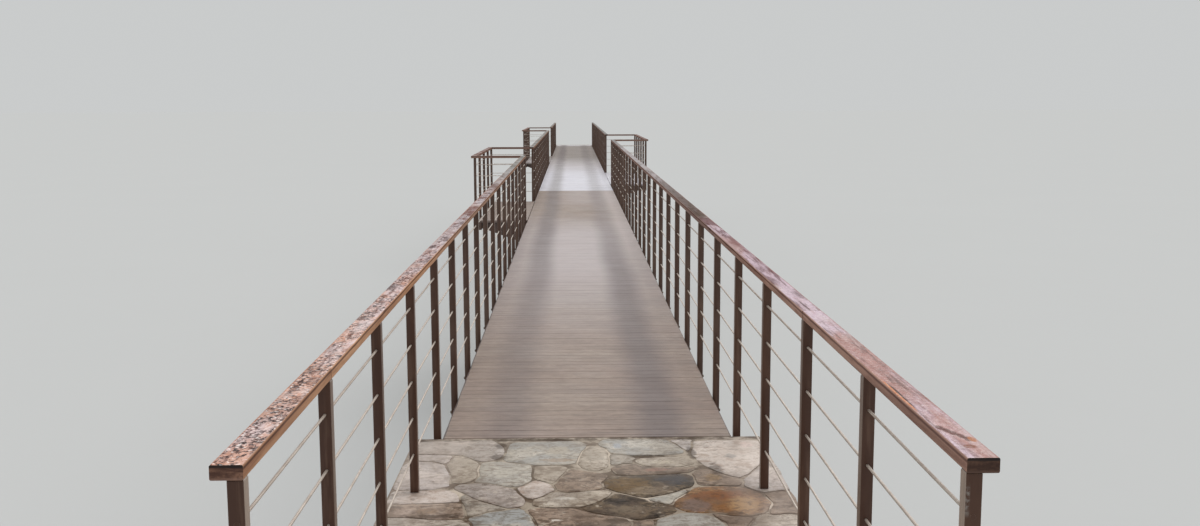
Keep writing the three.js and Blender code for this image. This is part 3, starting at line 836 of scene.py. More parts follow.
def polygon(sides, radius, turn=0.0):
    angles = [turn + math.tau * number / sides for number in range(sides)]
    return [(radius * math.cos(angle), radius * math.sin(angle)) for angle in angles]


def ring(origin, across, up, outline, scale=1.0):
    return [origin + across * (u * scale) + up * (v * scale) for u, v in outline]


def bar(start, end, up, wide, high, corner, cuts=1):
    """A straight bar with cut corners and cut ends, wide across and high along up."""
    along = (end - start).normalized()
    across = up.cross(along)
    full = rectangle(wide, high, corner, cuts)
    small = rectangle(wide - 2 * corner, high - 2 * corner, corner / 4, cuts)
    stations = ((start, small), (start + along * corner, full), (end - along * corner, full), (end, small))
    return loft([ring(place, across, up, outline) for place, outline in stations])


def box_bar(low, high, corner):
    """The bar that fills a box, running along Y."""
    middle = (low + high) / 2
    return bar(Vector((middle.x, low.y, middle.z)), Vector((middle.x, high.y, middle.z)), UP,
               high.x - low.x, high.z - low.z, corner)


def side_vectors(axis):
    up = UP if abs(axis.z) < 0.5 else ALONG_BRIDGE
    return up.cross(axis).normalized(), up


def round_bar(start, end, radius, sides=8):
    across, up = side_vectors((end - start).normalized())
    return loft([ring(place, across, up, polygon(sides, radius)) for place in (start, end)])


def stand_out(place, axis, outline, *stations):
    """A solid on an axis through a place, with one outline at several distances and scales."""
    across, up = side_vectors(axis)
    return loft([ring(place + axis * out, across, up, outline, scale) for out, scale in stations])


def add_bolt(joinery, place, axis, size, tone):
    """A hexagon head on a round washer, standing out along the axis."""
    thin, tall = size * 0.08, size * 0.42
    washer, head = polygon(10, size * 0.72), polygon(6, size * 0.5, tone)
    joinery.add(stand_out(place, axis, washer, (0, 1), (thin, 0.94)), 1, tone)
    joinery.add(stand_out(place, axis, head, (thin * 0.5, 1), (tall - thin, 1), (tall, 0.8)), 1, tone)


def cube_grid(cuts):
    """Points of a unit cube whose faces are cut into squares, and those squares, facing out."""
    index = {}
    faces = []
    for axis, side, i, j in product(range(3), (0, cuts), range(cuts), range(cuts)):
        square = []
        for di, dj in ((0, 0), (1, 0), (1, 1), (0, 1)):
            key = [0, 0, 0]
            key[axis] = side
            key[(axis + 1) % 3] = i + di
            key[(axis + 2) % 3] = j + dj
            square.append(index.setdefault(tuple(key), len(index)))
        faces.append(tuple(square if side else reversed(square)))
    return 2 * np.array(list(index)) / cuts - 1, faces


ROUGH_POINTS, ROUGH_FACES = cube_grid(4)


def rough_block(low, high, rng):
    """A squared stone that fills a box: rounded edges and an uneven skin, never outside the box."""
    half = (np.array(high) - np.array(low)) / 2 - QUOIN_RELIEF
    middle = (np.array(high) + np.array(low)) / 2
    inner = np.maximum(half - QUOIN_ROUNDING, half * 0.3)
    core = np.sign(ROUGH_POINTS) * np.abs(ROUGH_POINTS) ** 0.8 * inner
    length = np.linalg.norm(ROUGH_POINTS, axis=1, keepdims=True)
    away = ROUGH_POINTS * np.minimum(QUOIN_ROUNDING, half) / length * np.minimum(length, 1.25)
    shift = rng.uniform(0, 50)
    points = []
    for cell in np.clip(core + away, -half, half) + middle:
        swell = noise.noise_vector(Vector(cell) * 22 + Vector((shift, shift, 0)))
        points.append(Vector(cell) + swell * QUOIN_RELIEF)
    return points, ROUGH_FACES


# Deck

def deck_of_boards(node, rng, nosing=False):
    """Boards laid across a deck panel on hidden clips, each cut and laid a little unevenly."""
    low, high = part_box(node)
    joinery = Joinery()
    start, level = low.y, DECK_TOP - BOARD_THICK / 2
    if nosing:
        ends = [Vector((x, start + NOSING_WIDE / 2, level)) for x in (low.x, high.x)]
        joinery.add(bar(*ends, UP, NOSING_WIDE, BOARD_THICK, NOSING_ARRIS), 0, 1.0)
        start += NOSING_WIDE + BOARD_JOINT
    count = round((high.y - start) / BOARD_PITCH)
    pitch = (high.y - start) / count
    for number in range(count):
        tone, drop, skew = rng.random(), rng.uniform(0, BOARD_DROP), rng.uniform(-BOARD_SKEW, BOARD_SKEW)
        left, right = low.x + rng.uniform(0, BOARD_SHORT), high.x - rng.uniform(0, BOARD_SHORT)
        y = start + pitch * (number + 0.5)
        ends = Vector((left, y - skew, level - drop)), Vector((right, y + skew, level - drop))
        joinery.add(bar(*ends, UP, pitch - BOARD_JOINT, BOARD_THICK - drop, BOARD_ARRIS), 0, tone)
    piece = joinery.make(f"{node}_laid", [FINISHES["boards"]])
    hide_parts(node)
    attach(piece, "root")


# Railings

def add_post(joinery, x, y, foot, head, rng):
    post = bar(Vector((x, y, foot)), Vector((x, y, head)), ALONG_BRIDGE, POST, POST, POST_ARRIS, 2)
    joinery.add(post, 0, rng.random())


def add_post_bolt(joinery, x, y, z, outward, rng):
    place = Vector((x, y, 0)) + outward * (POST / 2) + UP * z
    add_bolt(joinery, place, outward, POST_BOLT, rng.random())


def add_ropes(joinery, start, end):
    for height in ROPE_HEIGHTS:
        rise = UP * (DECK_TOP + height)
        joinery.add(round_bar(start + rise, end + rise, ROPE / 2))


def add_rope_ends(joinery, place, away):
    """Flush plugs where the ropes are drawn tight through a last post, and a short swaged sleeve inside."""
    for height in ROPE_HEIGHTS:
        level = place + UP * (DECK_TOP + height)
        plug = stand_out(level + away * (POST / 2), away, polygon(12, PLUG),
                         (-0.001, 1), (0.0003, 1), (0.0005, 0.85))
        joinery.add(plug, 1, 0.3)
        inner = level - away * (POST / 2)
        joinery.add(round_bar(inner, inner - away * SLEEVE_LONG, SLEEVE, 10), 0, 0.6)


def finish_railing(posts, ropes, node, name):
    piece = posts.make(f"{name}_posts", [FINISHES["post"], FINISHES["fastener"]])
    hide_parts(node)
    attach(piece, "root")
    strands = ropes.make(f"{name}_wire_ropes", [FINISHES["rope"], FINISHES["post"]], 60)
    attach(strands, "root")


def straight_railing(name, rng):
    """Posts along one side, bolted to the beam beyond the landing, and ropes from the first to the last."""
    node = f"{name}_railing"
    low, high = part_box(node)
    x = (low.x + high.x) / 2
    outward = ACROSS_BRIDGE if x > 0 else -ACROSS_BRIDGE
    posts, ropes = Joinery(), Joinery()
    for number in range(round((high.y - low.y - POST) / BAY) + 1):
        y = low.y + POST / 2 + BAY * number
        on_stone = y < LANDING_EDGE - POST
        add_post(posts, x, y, PAVING_TOP - POST_SET if on_stone else low.z, high.z, rng)
        for drop in () if on_stone else POST_BOLT_DROPS:
            add_post_bolt(posts, x, y, low.z + POST_FOOT_TALL - drop, outward, rng)
    start, end = Vector((x, low.y + POST / 2, 0)), Vector((x, high.y - POST / 2, 0))
    add_ropes(ropes, start, end)
    add_rope_ends(ropes, start, -ALONG_BRIDGE)
    add_rope_ends(ropes, end, ALONG_BRIDGE)
    finish_railing(posts, ropes, node, name)


def balcony_side(name):
    return 1 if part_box(f"{name}_boards")[0].x > 0 else -1


def balcony_railings(name, rng):
    """Corner posts with ropes back to the bridge at the near and far side, and the outer side between."""
    side = balcony_side(name)
    outward = ACROSS_BRIDGE * side
    outer_low, outer_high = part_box(f"{name}_outer_railing")
    x = (outer_low.x + outer_high.x) / 2
    foot, head = outer_low.z, outer_high.z
    corners = []
    for end in ("near", "far"):
        node = f"{name}_{end}_railing"
        low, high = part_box(node)
        y = (low.y + high.y) / 2
        corners.append(y)
        posts, ropes = Joinery(), Joinery()
        add_post(posts, x, y, foot, head, rng)
        root = low.x if side > 0 else high.x
        add_ropes(ropes, Vector((root, y, 0)), Vector((x, y, 0)))
        add_rope_ends(ropes, Vector((x, y, 0)), outward)
        finish_railing(posts, ropes, node, f"{name}_{end}")
    posts, ropes = Joinery(), Joinery()
    for number in range(1, round((corners[1] - corners[0]) / BAY)):
        y = corners[0] + BAY * number
        add_post(posts, x, y, foot, head, rng)
        add_post_bolt(posts, x, y, foot + BALCONY_BOLT_RISE, outward, rng)
    add_ropes(ropes, Vector((x, outer_low.y, 0)), Vector((x, outer_high.y, 0)))
    finish_railing(posts, ropes, f"{name}_outer_railing", f"{name}_outer")


# Handrails

def add_rail(joinery, start, end, rng, mitre_start=0, mitre_end=0):
    """One handrail timber with rounded arrises, slightly uneven. Mitres slant its ends by that slope."""
    along = (end - start).normalized()
    across = UP.cross(along)
    length = (end - start).length
    outline = rectangle(RAIL_WIDE - RAIL_PLAY, RAIL_DEEP, RAIL_ARRIS, 3)
    steps = max(2, round(length / RAIL_STEP))
    shift = rng.uniform(0, 90)
    rings = []
    for step in range(steps + 1):
        reach = step / steps * length
        slant = mitre_start if step == 0 else mitre_end if step == steps else 0
        here = []
        for u, v in outline:
            push = noise.noise(Vector((reach * 6 + shift, u * 30, v * 30))) * RAIL_SWELL
            grow = 1 + (push - RAIL_PLAY / 2) / (RAIL_WIDE / 2)
            here.append(start + along * (reach + u * slant) + across * (u * grow) + UP * v)
        rings.append(here)
    points, faces = loft(rings)
    tone = rng.random()
    size = len(outline)
    joinery.add((points, faces[1:-1]), 0, tone)
    joinery.add((points[:size], faces[:1]), 1, tone)
    joinery.add((points[-size:], [tuple(range(size))]), 1, tone)


def finish_handrail(joinery, node, finish):
    piece = joinery.make(f"{node}_timber", [FINISHES[finish], FINISHES["rail_end"]], 40)
    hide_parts(node)
    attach(piece, "root")


def straight_handrail(name, rng):
    """Timbers of four bays each, butted together."""
    node = f"{name}_handrail"
    low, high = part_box(node)
    x, z = (low.x + high.x) / 2, (low.z + high.z) / 2
    finish = "left_rail" if x < 0 else "right_rail"
    cuts = [low.y]
    joint = FIRST_RAIL_JOINT[finish]
    while joint < high.y - BAY:
        if joint > low.y + BAY / 2:
            cuts.append(joint)
        joint += BAY * RAIL_BAYS_PER_LENGTH
    cuts.append(high.y)
    joinery = Joinery()
    for start, end in zip(cuts, cuts[1:]):
        gap0 = 0 if start == low.y else RAIL_JOINT / 2
        gap1 = 0 if end == high.y else RAIL_JOINT / 2
        add_rail(joinery, Vector((x, start + gap0, z)), Vector((x, end - gap1, z)), rng)
    finish_handrail(joinery, node, finish)


def balcony_handrail(name, rng):
    """Three timbers round a balcony, mitred at its corners."""
    node = f"{name}_handrail"
    low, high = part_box(node)
    side = balcony_side(name)
    half, z = RAIL_WIDE / 2, (low.z + high.z) / 2
    root, outer = (low.x, high.x - half) if side > 0 else (high.x, low.x + half)
    near, far = low.y + half, high.y - half
    path = [Vector((x, y, z)) for x, y in ((root, near), (outer, near), (outer, far), (root, far))]
    joinery = Joinery()
    for start, end, slopes in zip(path, path[1:], ((0, -side), (side, -side), (side, 0))):
        add_rail(joinery, start, end, rng, *slopes)
    finish_handrail(joinery, node, "cross_rail")


# Stonework

# The near landing's stones in centimetres: right of the middle, then out from the boards
TRACED_STONES = (
    ("rose", -41, 4, -24, 3, -21.5, 8, -20.5, 13, -22, 17, -24.5, 19, -27, 16, -29.5, 12.5, -33, 13.5, -40.5,
     13),
    ("lilac", -41, 14, -34, 14, -31.5, 15.5, -31, 19, -33, 20.5, -36, 18.5, -40, 18),
    ("lilac", -41, 19, -36, 19.5, -33.5, 21.5, -32.5, 24, -31.5, 28, -30.5, 32, -31, 36, -34, 38, -41, 38),
    ("tan", -31, 15, -27, 19, -25.5, 22, -25.5, 27, -24.8, 30, -25.5, 33, -27.5, 35, -30, 34.5, -30, 30,
     -31.5, 25, -32, 21, -32.5, 18),
    ("pale_grey", -24, 21, -20, 20.5, -14, 22, -12.5, 25, -13, 32, -14.5, 37, -18, 37, -21.5, 34.5, -25, 34,
     -23.8, 30, -24.5, 25),
    ("blue_grey", -17.5, 5, -2.5, 4.5, -1, 7, -1.5, 13, -2.5, 17, -3.5, 20.5, -10, 22.5, -13, 21.5, -18.5,
     19.5, -18.5, 13, -18, 9),
    ("tan", 0.5, 9, 3, 9.5, 4.3, 13, 4.3, 19, 3.5, 23, 2, 26, 0, 25.5, -1.3, 22, -2, 17, -1.5, 12),
    ("blue_grey", 4.5, 3, 19, 3.5, 21, 7, 22.5, 11, 21.5, 13.5, 18, 14.5, 9, 14.5, 5.5, 13.5, 4.5, 9, 3.5,
     6),
    ("lilac", 20.5, 4, 24.5, 4, 24.5, 8, 23.5, 12, 22.8, 11, 21.5, 7),
    ("pink", 26, 5, 40.5, 5, 41, 10, 40, 17, 38.5, 23, 36.5, 27, 34, 31.5, 33, 33, 30.5, 30, 28, 25.5, 26.5,
     21, 25.5, 16, 25, 12),
    ("tan", 11, 19.5, 15, 18.8, 20, 18, 22, 20, 23, 22, 21, 24.5, 15, 24.5, 12, 23, 11, 21),
    ("brown", 7.5, 22, 10.5, 22.5, 12, 24.5, 21.5, 25.5, 23, 24, 23.8, 26, 22, 28.5, 18, 29.5, 10, 30, 7,
     29.5, 6, 26),
    ("grey_tan", 5.2, 15, 8, 15.5, 10, 18.5, 9.5, 21.5, 6.5, 22.5, 5.3, 21),
    ("brown", 24.5, 27, 27, 28, 30, 32, 33, 35.5, 31, 38, 27, 37.5, 24.5, 37, 23.5, 33, 24, 29.5),
    ("slate", 3, 35.5, 6, 32.5, 10, 31.5, 15, 31, 20, 30.5, 22.5, 32, 22, 35.5, 20.5, 39, 18.5, 42, 15, 44.5,
     13, 45.5, 10, 43.5, 6, 40.5, 3.5, 38.5),
    ("pale_grey", 13, 45, 17, 43.5, 20.5, 40.5, 20, 43, 17.5, 46.5, 15.5, 49.5, 13, 47.5),
    ("rust", 20.5, 43.5, 22, 41, 25, 39.5, 30, 39.5, 33, 41, 35.5, 44.5, 37, 49, 35.5, 54, 32, 57, 28, 56.5,
     24.5, 54.5, 20, 54, 17.5, 50.5, 18.5, 46.5),
    ("slate", -1.5, 52, 1.5, 49.5, 4, 45.5, 5.5, 44, 10, 47, 14.5, 50, 16.5, 53.5, 13, 57, 9.5, 58.5, 5, 56,
     1, 54.5),
    ("pale_grey", 13, 60, 16, 57.5, 20, 56, 24, 57.5, 26, 61, 26.5, 66, 25, 72, 14, 73, 12, 66),
    ("brown", 24.5, 56, 28, 58, 32, 58.5, 30.5, 62, 29, 67, 27, 66, 26.5, 61),
    ("tan", 33.5, 57.5, 37, 58, 40, 56.5, 42, 59, 42, 70, 31, 71, 30.5, 64),
    ("lilac", 34, 35, 36, 31, 38.5, 26, 41, 22, 42.5, 25, 42.5, 41, 37, 42, 34.5, 39),
    ("brown", 38.5, 43.5, 42.5, 42.5, 42.5, 56, 38.5, 55.5, 37, 56, 36.5, 54, 38.5, 49, 37, 45),
    ("rose", -28, 36, -25, 35.5, -19.5, 37, -16.5, 41, -15, 45, -14.5, 49, -17, 51, -19.5, 49, -23, 46.5,
     -26, 43, -28, 39.5),
    ("pink", -14.5, 38, -12, 34.5, -10.5, 34.5, -8, 38, -8.5, 41, -10, 44.5, -12, 45, -14, 42),
    ("tan", -12.5, 24, -10, 23, -6.5, 24, -5, 27, -7, 32, -8, 35.5, -10.5, 33.5, -12.5, 30.5),
    ("brown", -4.5, 26.5, -1, 28.5, 3, 30.5, 2.5, 34, 2.5, 38.5, -0.5, 41, -5, 41.5, -7.5, 38, -6.5, 33),
    ("tan", -8, 42, -5, 42.5, 0, 41.5, 3.5, 41, 3.5, 44.5, 1, 48.5, -2.5, 51, -8, 51, -11, 49, -10.5, 45),
    ("brown", -12, 53, -9, 52, -4, 52, -2, 54, 1.5, 56, 6.5, 58.5, 8, 61, 5, 66, -9, 66, -10.5, 59),
    ("brown", 8.5, 60, 12, 59.5, 12, 66, 8, 66),
    ("blue_grey", -23.5, 57, -20, 53.5, -15, 52.5, -12.5, 56, -11.5, 62, -12.5, 67, -23, 67, -22, 62),
    ("grey_tan", -27, 41.5, -24.5, 45.5, -20, 49.5, -17.5, 52, -21, 53, -24, 55.5, -25.5, 52, -26, 47),
    ("pink", -41, 40.5, -36, 41, -31, 40.5, -28.5, 42.5, -27.5, 46.5, -32, 47.5, -41, 47.5),
    ("brown", -41, 49, -30, 48.5, -26.8, 48.5, -25.5, 53, -26, 56.5, -30, 57.5, -33, 56.5, -37, 55.5, -41,
     55.5),
    ("grey_tan", -41.5, 57, -36, 57, -32, 58.5, -27, 58.5, -24.5, 60, -24, 66, -41.5, 66),
)
TRACED_REACH = 0.66


def traced_stones():
    stones = []
    for kind, *numbers in TRACED_STONES:
        outline = [(x / 100, LANDING_EDGE - out / 100) for x, out in zip(numbers[0::2], numbers[1::2])]
        stones.append((kind, np.array(outline)))
    return stones


def any_kind(rng):
    return rng.choices(STONE_ORDER, STONE_LOTS)[0]


def scattered_stones(x0, x1, y0, y1, step, rng):
    """Stones with four to seven uneven corners on a loosened grid, each of a kind drawn by lot."""
    stones = []
    rows, columns = max(1, round((y1 - y0) / step)), max(1, round((x1 - x0) / step))
    for row, column in product(range(rows), range(columns)):
        x = x0 + (x1 - x0) * (column + 0.5 + rng.uniform(-0.25, 0.25) * (columns > 1)) / columns
        y = y0 + (y1 - y0) * (row + 0.5 + rng.uniform(-0.25, 0.25) * (rows > 1)) / rows
        wide, long = step * rng.uniform(0.36, 0.60), step * rng.uniform(0.34, 0.56)
        corners = rng.randint(4, 7)
        first = rng.uniform(0, math.tau)
        angles = [first + math.tau * (corner + rng.uniform(-0.25, 0.25)) / corners
                  for corner in range(corners)]
        outline = [(x + math.cos(angle) * wide, y + math.sin(angle) * long) for angle in angles]
        stones.append((any_kind(rng), np.array(outline)))
    return stones


def distance_to(outline, spots):
    """Signed distance of flat spots from a closed outline, negative inside it."""
    step = np.roll(outline, -1, axis=0) - outline
    offset = spots[:, None, :] - outline[None]
    share = np.clip((offset * step).sum(-1) / (step * step).sum(-1), 0, 1)
    gap = offset - share[..., None] * step
    nearest = np.sqrt((gap * gap).sum(-1).min(-1))
    low, high = outline[:, 1], np.roll(outline[:, 1], -1)
    level = spots[:, None, 1]
    crossed = (low > level) != (high > level)
    rise = np.where(step[:, 1] == 0, 1e-9, step[:, 1])
    reach = outline[:, 0] + (level - low) * step[:, 0] / rise
    inside = (crossed & (spots[:, None, 0] < reach)).sum(-1) % 2 == 1
    return np.where(inside, -nearest, nearest)


def stone_middle(outline):
    """The spot inside an outline that lies farthest from its sides."""
    low, high = outline.min(axis=0), outline.max(axis=0)
    shares = np.array(list(product(np.linspace(0.08, 0.92, 13), repeat=2)))
    grid = low + (high - low) * shares
    return grid[np.argmin(distance_to(outline, grid))]


def stone_radii(outline, middle, neighbours, limits, sides, spread):
    """How far a stone reaches each way: a little past its outline, and never over half a joint's middle."""
    corners = outline - middle
    angles = math.tau * np.arange(sides) / sides
    for turn in np.arctan2(corners[:, 1], corners[:, 0]) % math.tau:
        angles[np.argmin(np.abs(angles - turn))] = turn
    angles = np.sort(angles)
    directions = np.stack([np.cos(angles), np.sin(angles)], axis=-1)
    far = np.arange(*STONE_REACHES)
    spots = (middle + directions[:, None, :] * far[:, None]).reshape(-1, 2)
    own = distance_to(outline, spots)
    if neighbours:
        others = np.min([distance_to(other, spots) for other in neighbours], axis=0)
        held = (own < spread) & (own + STONE_JOINT < others)
    else:
        held = own < -STONE_JOINT / 2
    x0, x1, y0, y1 = limits
    held &= (spots[:, 0] > x0) & (spots[:, 0] < x1) & (spots[:, 1] > y0) & (spots[:, 1] < y1)
    held = held.reshape(sides, len(far))
    held[:, -1] = False
    radii = far[np.maximum(np.argmin(held, axis=1) - 1, 0)]
    return directions, (np.roll(radii, 1) + 6 * radii + np.roll(radii, -1)) / 8


# Each ring of a stone by its share of the reach and its depth, then the relief and the number of sides
PAVING_RINGS = ((1.0, 0.022), (1.0, 0.0030), (0.985, 0.0013), (0.955, 0.0004), (0.7, 0.0), (0.35, 0.0))
PAVING_CUT = (PAVING_RINGS, 0.0011, 44)
WALL_RINGS = ((0.96, 0.030), (1.0, 0.009), (0.97, 0.004), (0.88, 0.0012), (0.5, 0.0))
WALL_CUT = (WALL_RINGS, 0.0035, 18)


def split_stone(joinery, kind, outline, neighbours, limits, place, cut, rng, spread=0.0):
    """One stone with an upright side, a rounded rim and an uneven split face."""
    stone_rings, relief, sides = cut
    middle = stone_middle(outline)
    directions, radii = stone_radii(outline, middle, neighbours, limits, sides, spread)
    seed = rng.uniform(0, 60)
    sink = rng.uniform(0.0, relief * 0.6)
    rings = []
    for share, depth in stone_rings:
        level = []
        for direction, radius in zip(directions, radii):
            inset = 1 - (1 - share) * min(1, RIM_RADIUS / radius) if share > 0.9 else share
            u, v = middle + direction * radius * inset
            cleft = abs(noise.noise(Vector((u * 24, v * 24, seed)))) * relief
            level.append(place(u, v, depth + sink + cleft))
        rings.append(level)
    fades = [share for share, _ in stone_rings for _ in range(sides)]
    joinery.add(loft(rings), 1 + STONE_ORDER.index(kind), rng.random(), fades)


def landing_paving(node, stones, rng, traced=0):
    """Flagstones in a mortar bed. Those after the traced ones grow until they nearly meet."""
    low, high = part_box(node)
    limits = (low.x + 0.0005, high.x - 0.0005, low.y + 0.0005, high.y - 0.0012)
    joinery = Joinery()

    def place(u, v, depth):
        return Vector((u, v, PAVING_TOP - depth))

    for number, (kind, outline) in enumerate(stones):
        spread = STONE_SPREAD if number < traced else LOOSE_SPREAD
        reach = spread + 0.06
        top, bottom = outline.max(axis=0) + reach, outline.min(axis=0) - reach
        neighbours = [other for _, other in stones if other is not outline
                      and (other.min(axis=0) < top).all() and (other.max(axis=0) > bottom).all()]
        split_stone(joinery, kind, outline, neighbours, limits, place, PAVING_CUT, rng, spread)
    bed_low = Vector((low.x + BED_INSET, low.y + BED_INSET, low.z))
    bed_high = Vector((high.x - BED_INSET, high.y - BED_INSET / 2, high.z - BED_DROP))
    joinery.add(box_bar(bed_low, bed_high, 0.0015))
    piece = joinery.make(f"{node}_flagstones", [FINISHES["paving_mortar"], *PAVING_STONES], 50)
    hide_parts(node)
    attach(piece, "root")


def wall_face(joinery, start, along, outward, length, levels, turns, rng):
    """Rubble between the corner stones of one face, in wandering courses with some stones halved."""
    seed = rng.uniform(0, 90)
    last = len(levels) - 1
    limits = (0.001, length - 0.001, levels[0] + 0.001, levels[-1] - 0.001)

    def course_line(course, u):
        if course in (0, last):
            return levels[course]
        sway = min(max((min(u, length - u) - QUOIN_LONG) / 0.07, 0), 1)
        return levels[course] + noise.noise(Vector((u * 5, course * 7.3, seed))) * COURSE_SWAY * sway

    def place(u, v, depth):
        return start + along * u + UP * v - outward * depth

    def lay(u0, u1, course, low_share, high_share, lean0, lean1):
        """One stone, from and to a share of its course's height, with leaning ends."""
        stops = [(u0 + (u1 - u0) * share, lean)
                 for share, lean in ((0, lean0), (1 / 3, 0), (2 / 3, 0), (1, lean1))]
        spots = [(u - lean, low_share) for u, lean in stops]
        spots += [(u + lean, high_share) for u, lean in reversed(stops)]
        outline = [(u, course_line(course, u) * (1 - share) + course_line(course + 1, u) * share)
                   for u, share in spots]
        split_stone(joinery, any_kind(rng), np.array(outline), None, limits, place, WALL_CUT, rng)

    for course in range(last):
        reach = min(QUOIN_LONG if (course + turns) % 2 else QUOIN_SHORT, length / FACE_PER_QUOIN)
        here, end = reach, length - reach
        lean = 0.0
        while here < end - 1e-6:
            after = here + rng.uniform(RUBBLE_SHORT, RUBBLE_LONG)
            if end - after < RUBBLE_SHORT:
                after = end
            next_lean = 0.0 if after == end else rng.uniform(-RUBBLE_LEAN, RUBBLE_LEAN)
            middle = (here + after) / 2
            shares = [0, 1]
            tall = course_line(course + 1, middle) - course_line(course, middle)
            if tall > HALVED_OVER and rng.random() < 0.3:
                shares.insert(1, rng.uniform(0.4, 0.6))
            for low_share, high_share in zip(shares, shares[1:]):
                lay(here, after, course, low_share, high_share, lean, next_lean)
            here, lean = after, next_lean


def corner_stones(joinery, x0, x1, y0, y1, levels, rng):
    """Squared stones at the four corners, their long sides turned by turns."""
    gap = STONE_JOINT / 2 + 0.0005
    for course in range(len(levels) - 1):
        at_x, at_y = (QUOIN_LONG, QUOIN_SHORT) if course % 2 else (QUOIN_SHORT, QUOIN_LONG)
        at_x, at_y = min(at_x, (x1 - x0) / FACE_PER_QUOIN), min(at_y, (y1 - y0) / FACE_PER_QUOIN)
        for west, south in product((True, False), repeat=2):
            sink = rng.uniform(0, QUOIN_SINK)
            left, right = (x0 + sink, x0 + at_x - gap) if west else (x1 - at_x + gap, x1 - sink)
            near, far = (y0 + sink, y0 + at_y - gap) if south else (y1 - at_y + gap, y1 - sink)
            slot = 1 + STONE_ORDER.index(any_kind(rng))
            low, high = (left, near, levels[course] + gap), (right, far, levels[course + 1] - gap)
            joinery.add(rough_block(low, high, rng), slot, rng.random())


def stone_abutment(end, rng):
    """Rubble up to the bearing seat, and a shorter wall on it under the paving."""
    node = f"{end}_abutment"
    low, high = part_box(node)
    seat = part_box("left_side_beam_1")[0].z
    paving_low, paving_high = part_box(f"{end}_landing_paving")
    upper = (low.y, paving_high.y) if end == "near" else (paving_low.y, high.y)
    wide = high.x - low.x
    joinery = Joinery()
    for z0, z1, y0, y1 in ((0.0, seat, low.y, high.y), (seat, high.z, *upper)):
        courses = max(1, round((z1 - z0) / COURSE_HIGH))
        heights = [rng.uniform(0.8, 1.2) for _ in range(courses)]
        levels = [z0 + (z1 - z0) * sum(heights[:n]) / sum(heights) for n in range(courses + 1)]
        corner_stones(joinery, low.x, high.x, y0, y1, levels, rng)
        for x, y, along, outward, length, turns in (
            (low.x, y0, ACROSS_BRIDGE, -ALONG_BRIDGE, wide, 0),
            (high.x, y1, -ACROSS_BRIDGE, ALONG_BRIDGE, wide, 0),
            (high.x, y0, ALONG_BRIDGE, ACROSS_BRIDGE, y1 - y0, 1),
            (low.x, y1, -ALONG_BRIDGE, -ACROSS_BRIDGE, y1 - y0, 1),
        ):
            wall_face(joinery, Vector((x, y, 0)), along, outward, length, levels, turns, rng)
        core_low = Vector((low.x + CORE_INSET, y0 + CORE_INSET, z0))
        joinery.add(box_bar(core_low, Vector((high.x - CORE_INSET, y1 - CORE_INSET, z1)), 0.002))
    piece = joinery.make(f"{node}_stonework", [FINISHES["wall_mortar"], *WALL_STONES], 60)
    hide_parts(node)
    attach(piece, "root")


# Piers

def concrete_pier(node):
    """Footing, stem cast in three lifts, and a cap, with tie holes plugged."""
    low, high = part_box(node)
    y = (low.y + high.y) / 2
    joinery = Joinery()

    def cast(wide, long, z0, z1, corner):
        low_corner, high_corner = Vector((-wide / 2, y - long / 2, z0)), Vector((wide / 2, y + long / 2, z1))
        joinery.add(box_bar(low_corner, high_corner, corner))

    cast(high.x - low.x, high.y - low.y, 0, FOOTING_HIGH, 0.006)
    stem_top = high.z - CAP_HIGH
    step = (stem_top - FOOTING_HIGH) / STEM_LIFTS
    for lift in range(STEM_LIFTS):
        z0 = FOOTING_HIGH + step * lift
        cast(STEM_WIDE, STEM_LONG, z0, z0 + step, 0.004)
        for x, away in product(TIE_HOLE_PLACES, (-ALONG_BRIDGE, ALONG_BRIDGE)):
            face = Vector((x, y, z0 + step / 2)) + away * STEM_LONG / 2
            plug = stand_out(face, away, polygon(14, TIE_HOLE), (-0.004, 1), (0.0008, 1), (0.0002, 0.7))
            joinery.add(plug, 0, 0.2)
    cast(CAP_WIDE, CAP_LONG, stem_top, high.z, 0.005)
    piece = joinery.make(f"{node}_cast", [FINISHES["concrete"]])
    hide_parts(node)
    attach(piece, "root")


# Steel details

def beam_faces(number):
    """The side, outer face and box of each side beam of one length."""
    for side, word in ((-1, "left"), (1, "right")):
        low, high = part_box(f"{word}_side_beam_{number}")
        yield side, high.x if side > 0 else low.x, low, high


def beam_fixings(number, rng):
    """Bolts through the beam webs at each joist."""
    joinery = Joinery()
    frame_low, frame_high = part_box(f"deck_framing_{number}")
    first, last = frame_low.y + HALF_JOIST, frame_high.y - HALF_JOIST
    fields = round((last - first) / (BAYS_PER_JOIST * BAY))
    for side, face, low, high in beam_faces(number):
        for index in range(fields + 1):
            y = first + (last - first) * index / fields
            y = min(max(y, low.y + WEB_BOLT_END), high.y - WEB_BOLT_END)
            for dy, drop in product((-WEB_BOLT_SHIFT, WEB_BOLT_SHIFT), WEB_BOLT_DROPS):
                place = Vector((face, y + dy, high.z - drop))
                add_bolt(joinery, place, ACROSS_BRIDGE * side, BOLT, rng.random())
    piece = joinery.make(f"beam_bolts_{number}", [FINISHES["steel"], FINISHES["fastener"]])
    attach(piece, "root")


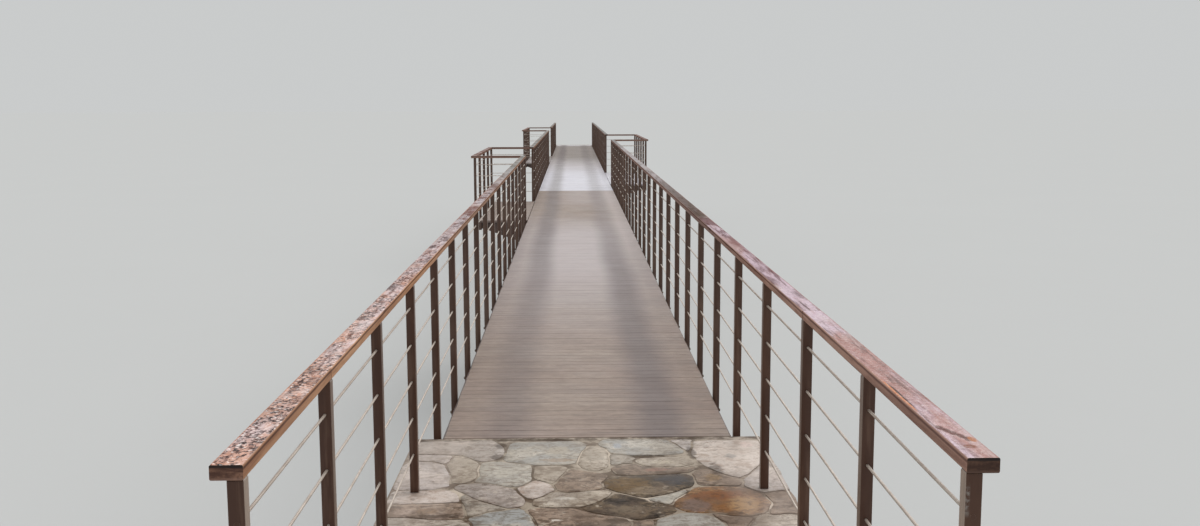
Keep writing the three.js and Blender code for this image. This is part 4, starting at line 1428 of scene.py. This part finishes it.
def pier_cleats(node):
    """Angle cleats that hold the beams down on a pier cap, either side of the post."""
    joinery = Joinery()
    low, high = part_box(node)
    for side, face, _, _ in beam_faces(1):
        for shift in (-CLEAT_SHIFT, CLEAT_SHIFT):
            y = (low.y + high.y) / 2 + shift
            for reach, tall in ((CLEAT_LEG, PLATE_THICK), (PLATE_THICK, CLEAT_HIGH)):
                x0, x1 = sorted((face, face + side * reach))
                plate_low = Vector((x0, y - HALF_CLEAT, high.z))
                joinery.add(box_bar(plate_low, Vector((x1, y + HALF_CLEAT, high.z + tall)), PLATE_ARRIS))
            for dy in (-CLEAT_BOLT_SHIFT, CLEAT_BOLT_SHIFT):
                on_cap = Vector((face + side * CLEAT_BOLT_OUT, y + dy, high.z + PLATE_THICK))
                on_beam = Vector((face + side * PLATE_THICK, y + dy, high.z + CLEAT_BOLT_UP))
                add_bolt(joinery, on_cap, UP, BOLT, 0.3)
                add_bolt(joinery, on_beam, ACROSS_BRIDGE * side, BOLT, 0.6)
    piece = joinery.make(f"{node}_beam_cleats", [FINISHES["steel"], FINISHES["fastener"]])
    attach(piece, "root")


def dress_steel_nodes():
    for name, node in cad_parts.items():
        if "side_beam" in name or "framing" in name or name.endswith("_frame"):
            node.data.materials.clear()
            node.data.materials.append(FINISHES["steel"])


def build_bridge():
    rng = random.Random(5)
    noise.seed_set(5)
    for number in (1, 2, 3):
        deck_of_boards(f"deck_boards_{number}", rng, nosing=number == 1)
        beam_fixings(number, rng)
    for name in BALCONIES:
        deck_of_boards(f"{name}_boards", rng)
        balcony_railings(name, rng)
        balcony_handrail(name, rng)
    for name in RUNS:
        straight_railing(name, rng)
        straight_handrail(name, rng)
    low, high = LANDING_LOW, LANDING_HIGH
    loose = scattered_stones(low.x, high.x, low.y, high.y - TRACED_REACH, 0.15, rng)
    landing_paving("near_landing_paving", traced_stones() + loose, rng, len(TRACED_STONES))
    low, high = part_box("far_landing_paving")
    landing_paving("far_landing_paving", scattered_stones(low.x, high.x, low.y, high.y, 0.14, rng), rng)
    stone_abutment("near", rng)
    stone_abutment("far", rng)
    for name in ("pier_1", "pier_2"):
        concrete_pier(name)
        pier_cleats(name)
    dress_steel_nodes()


make_camera()
make_studio()
build_bridge()
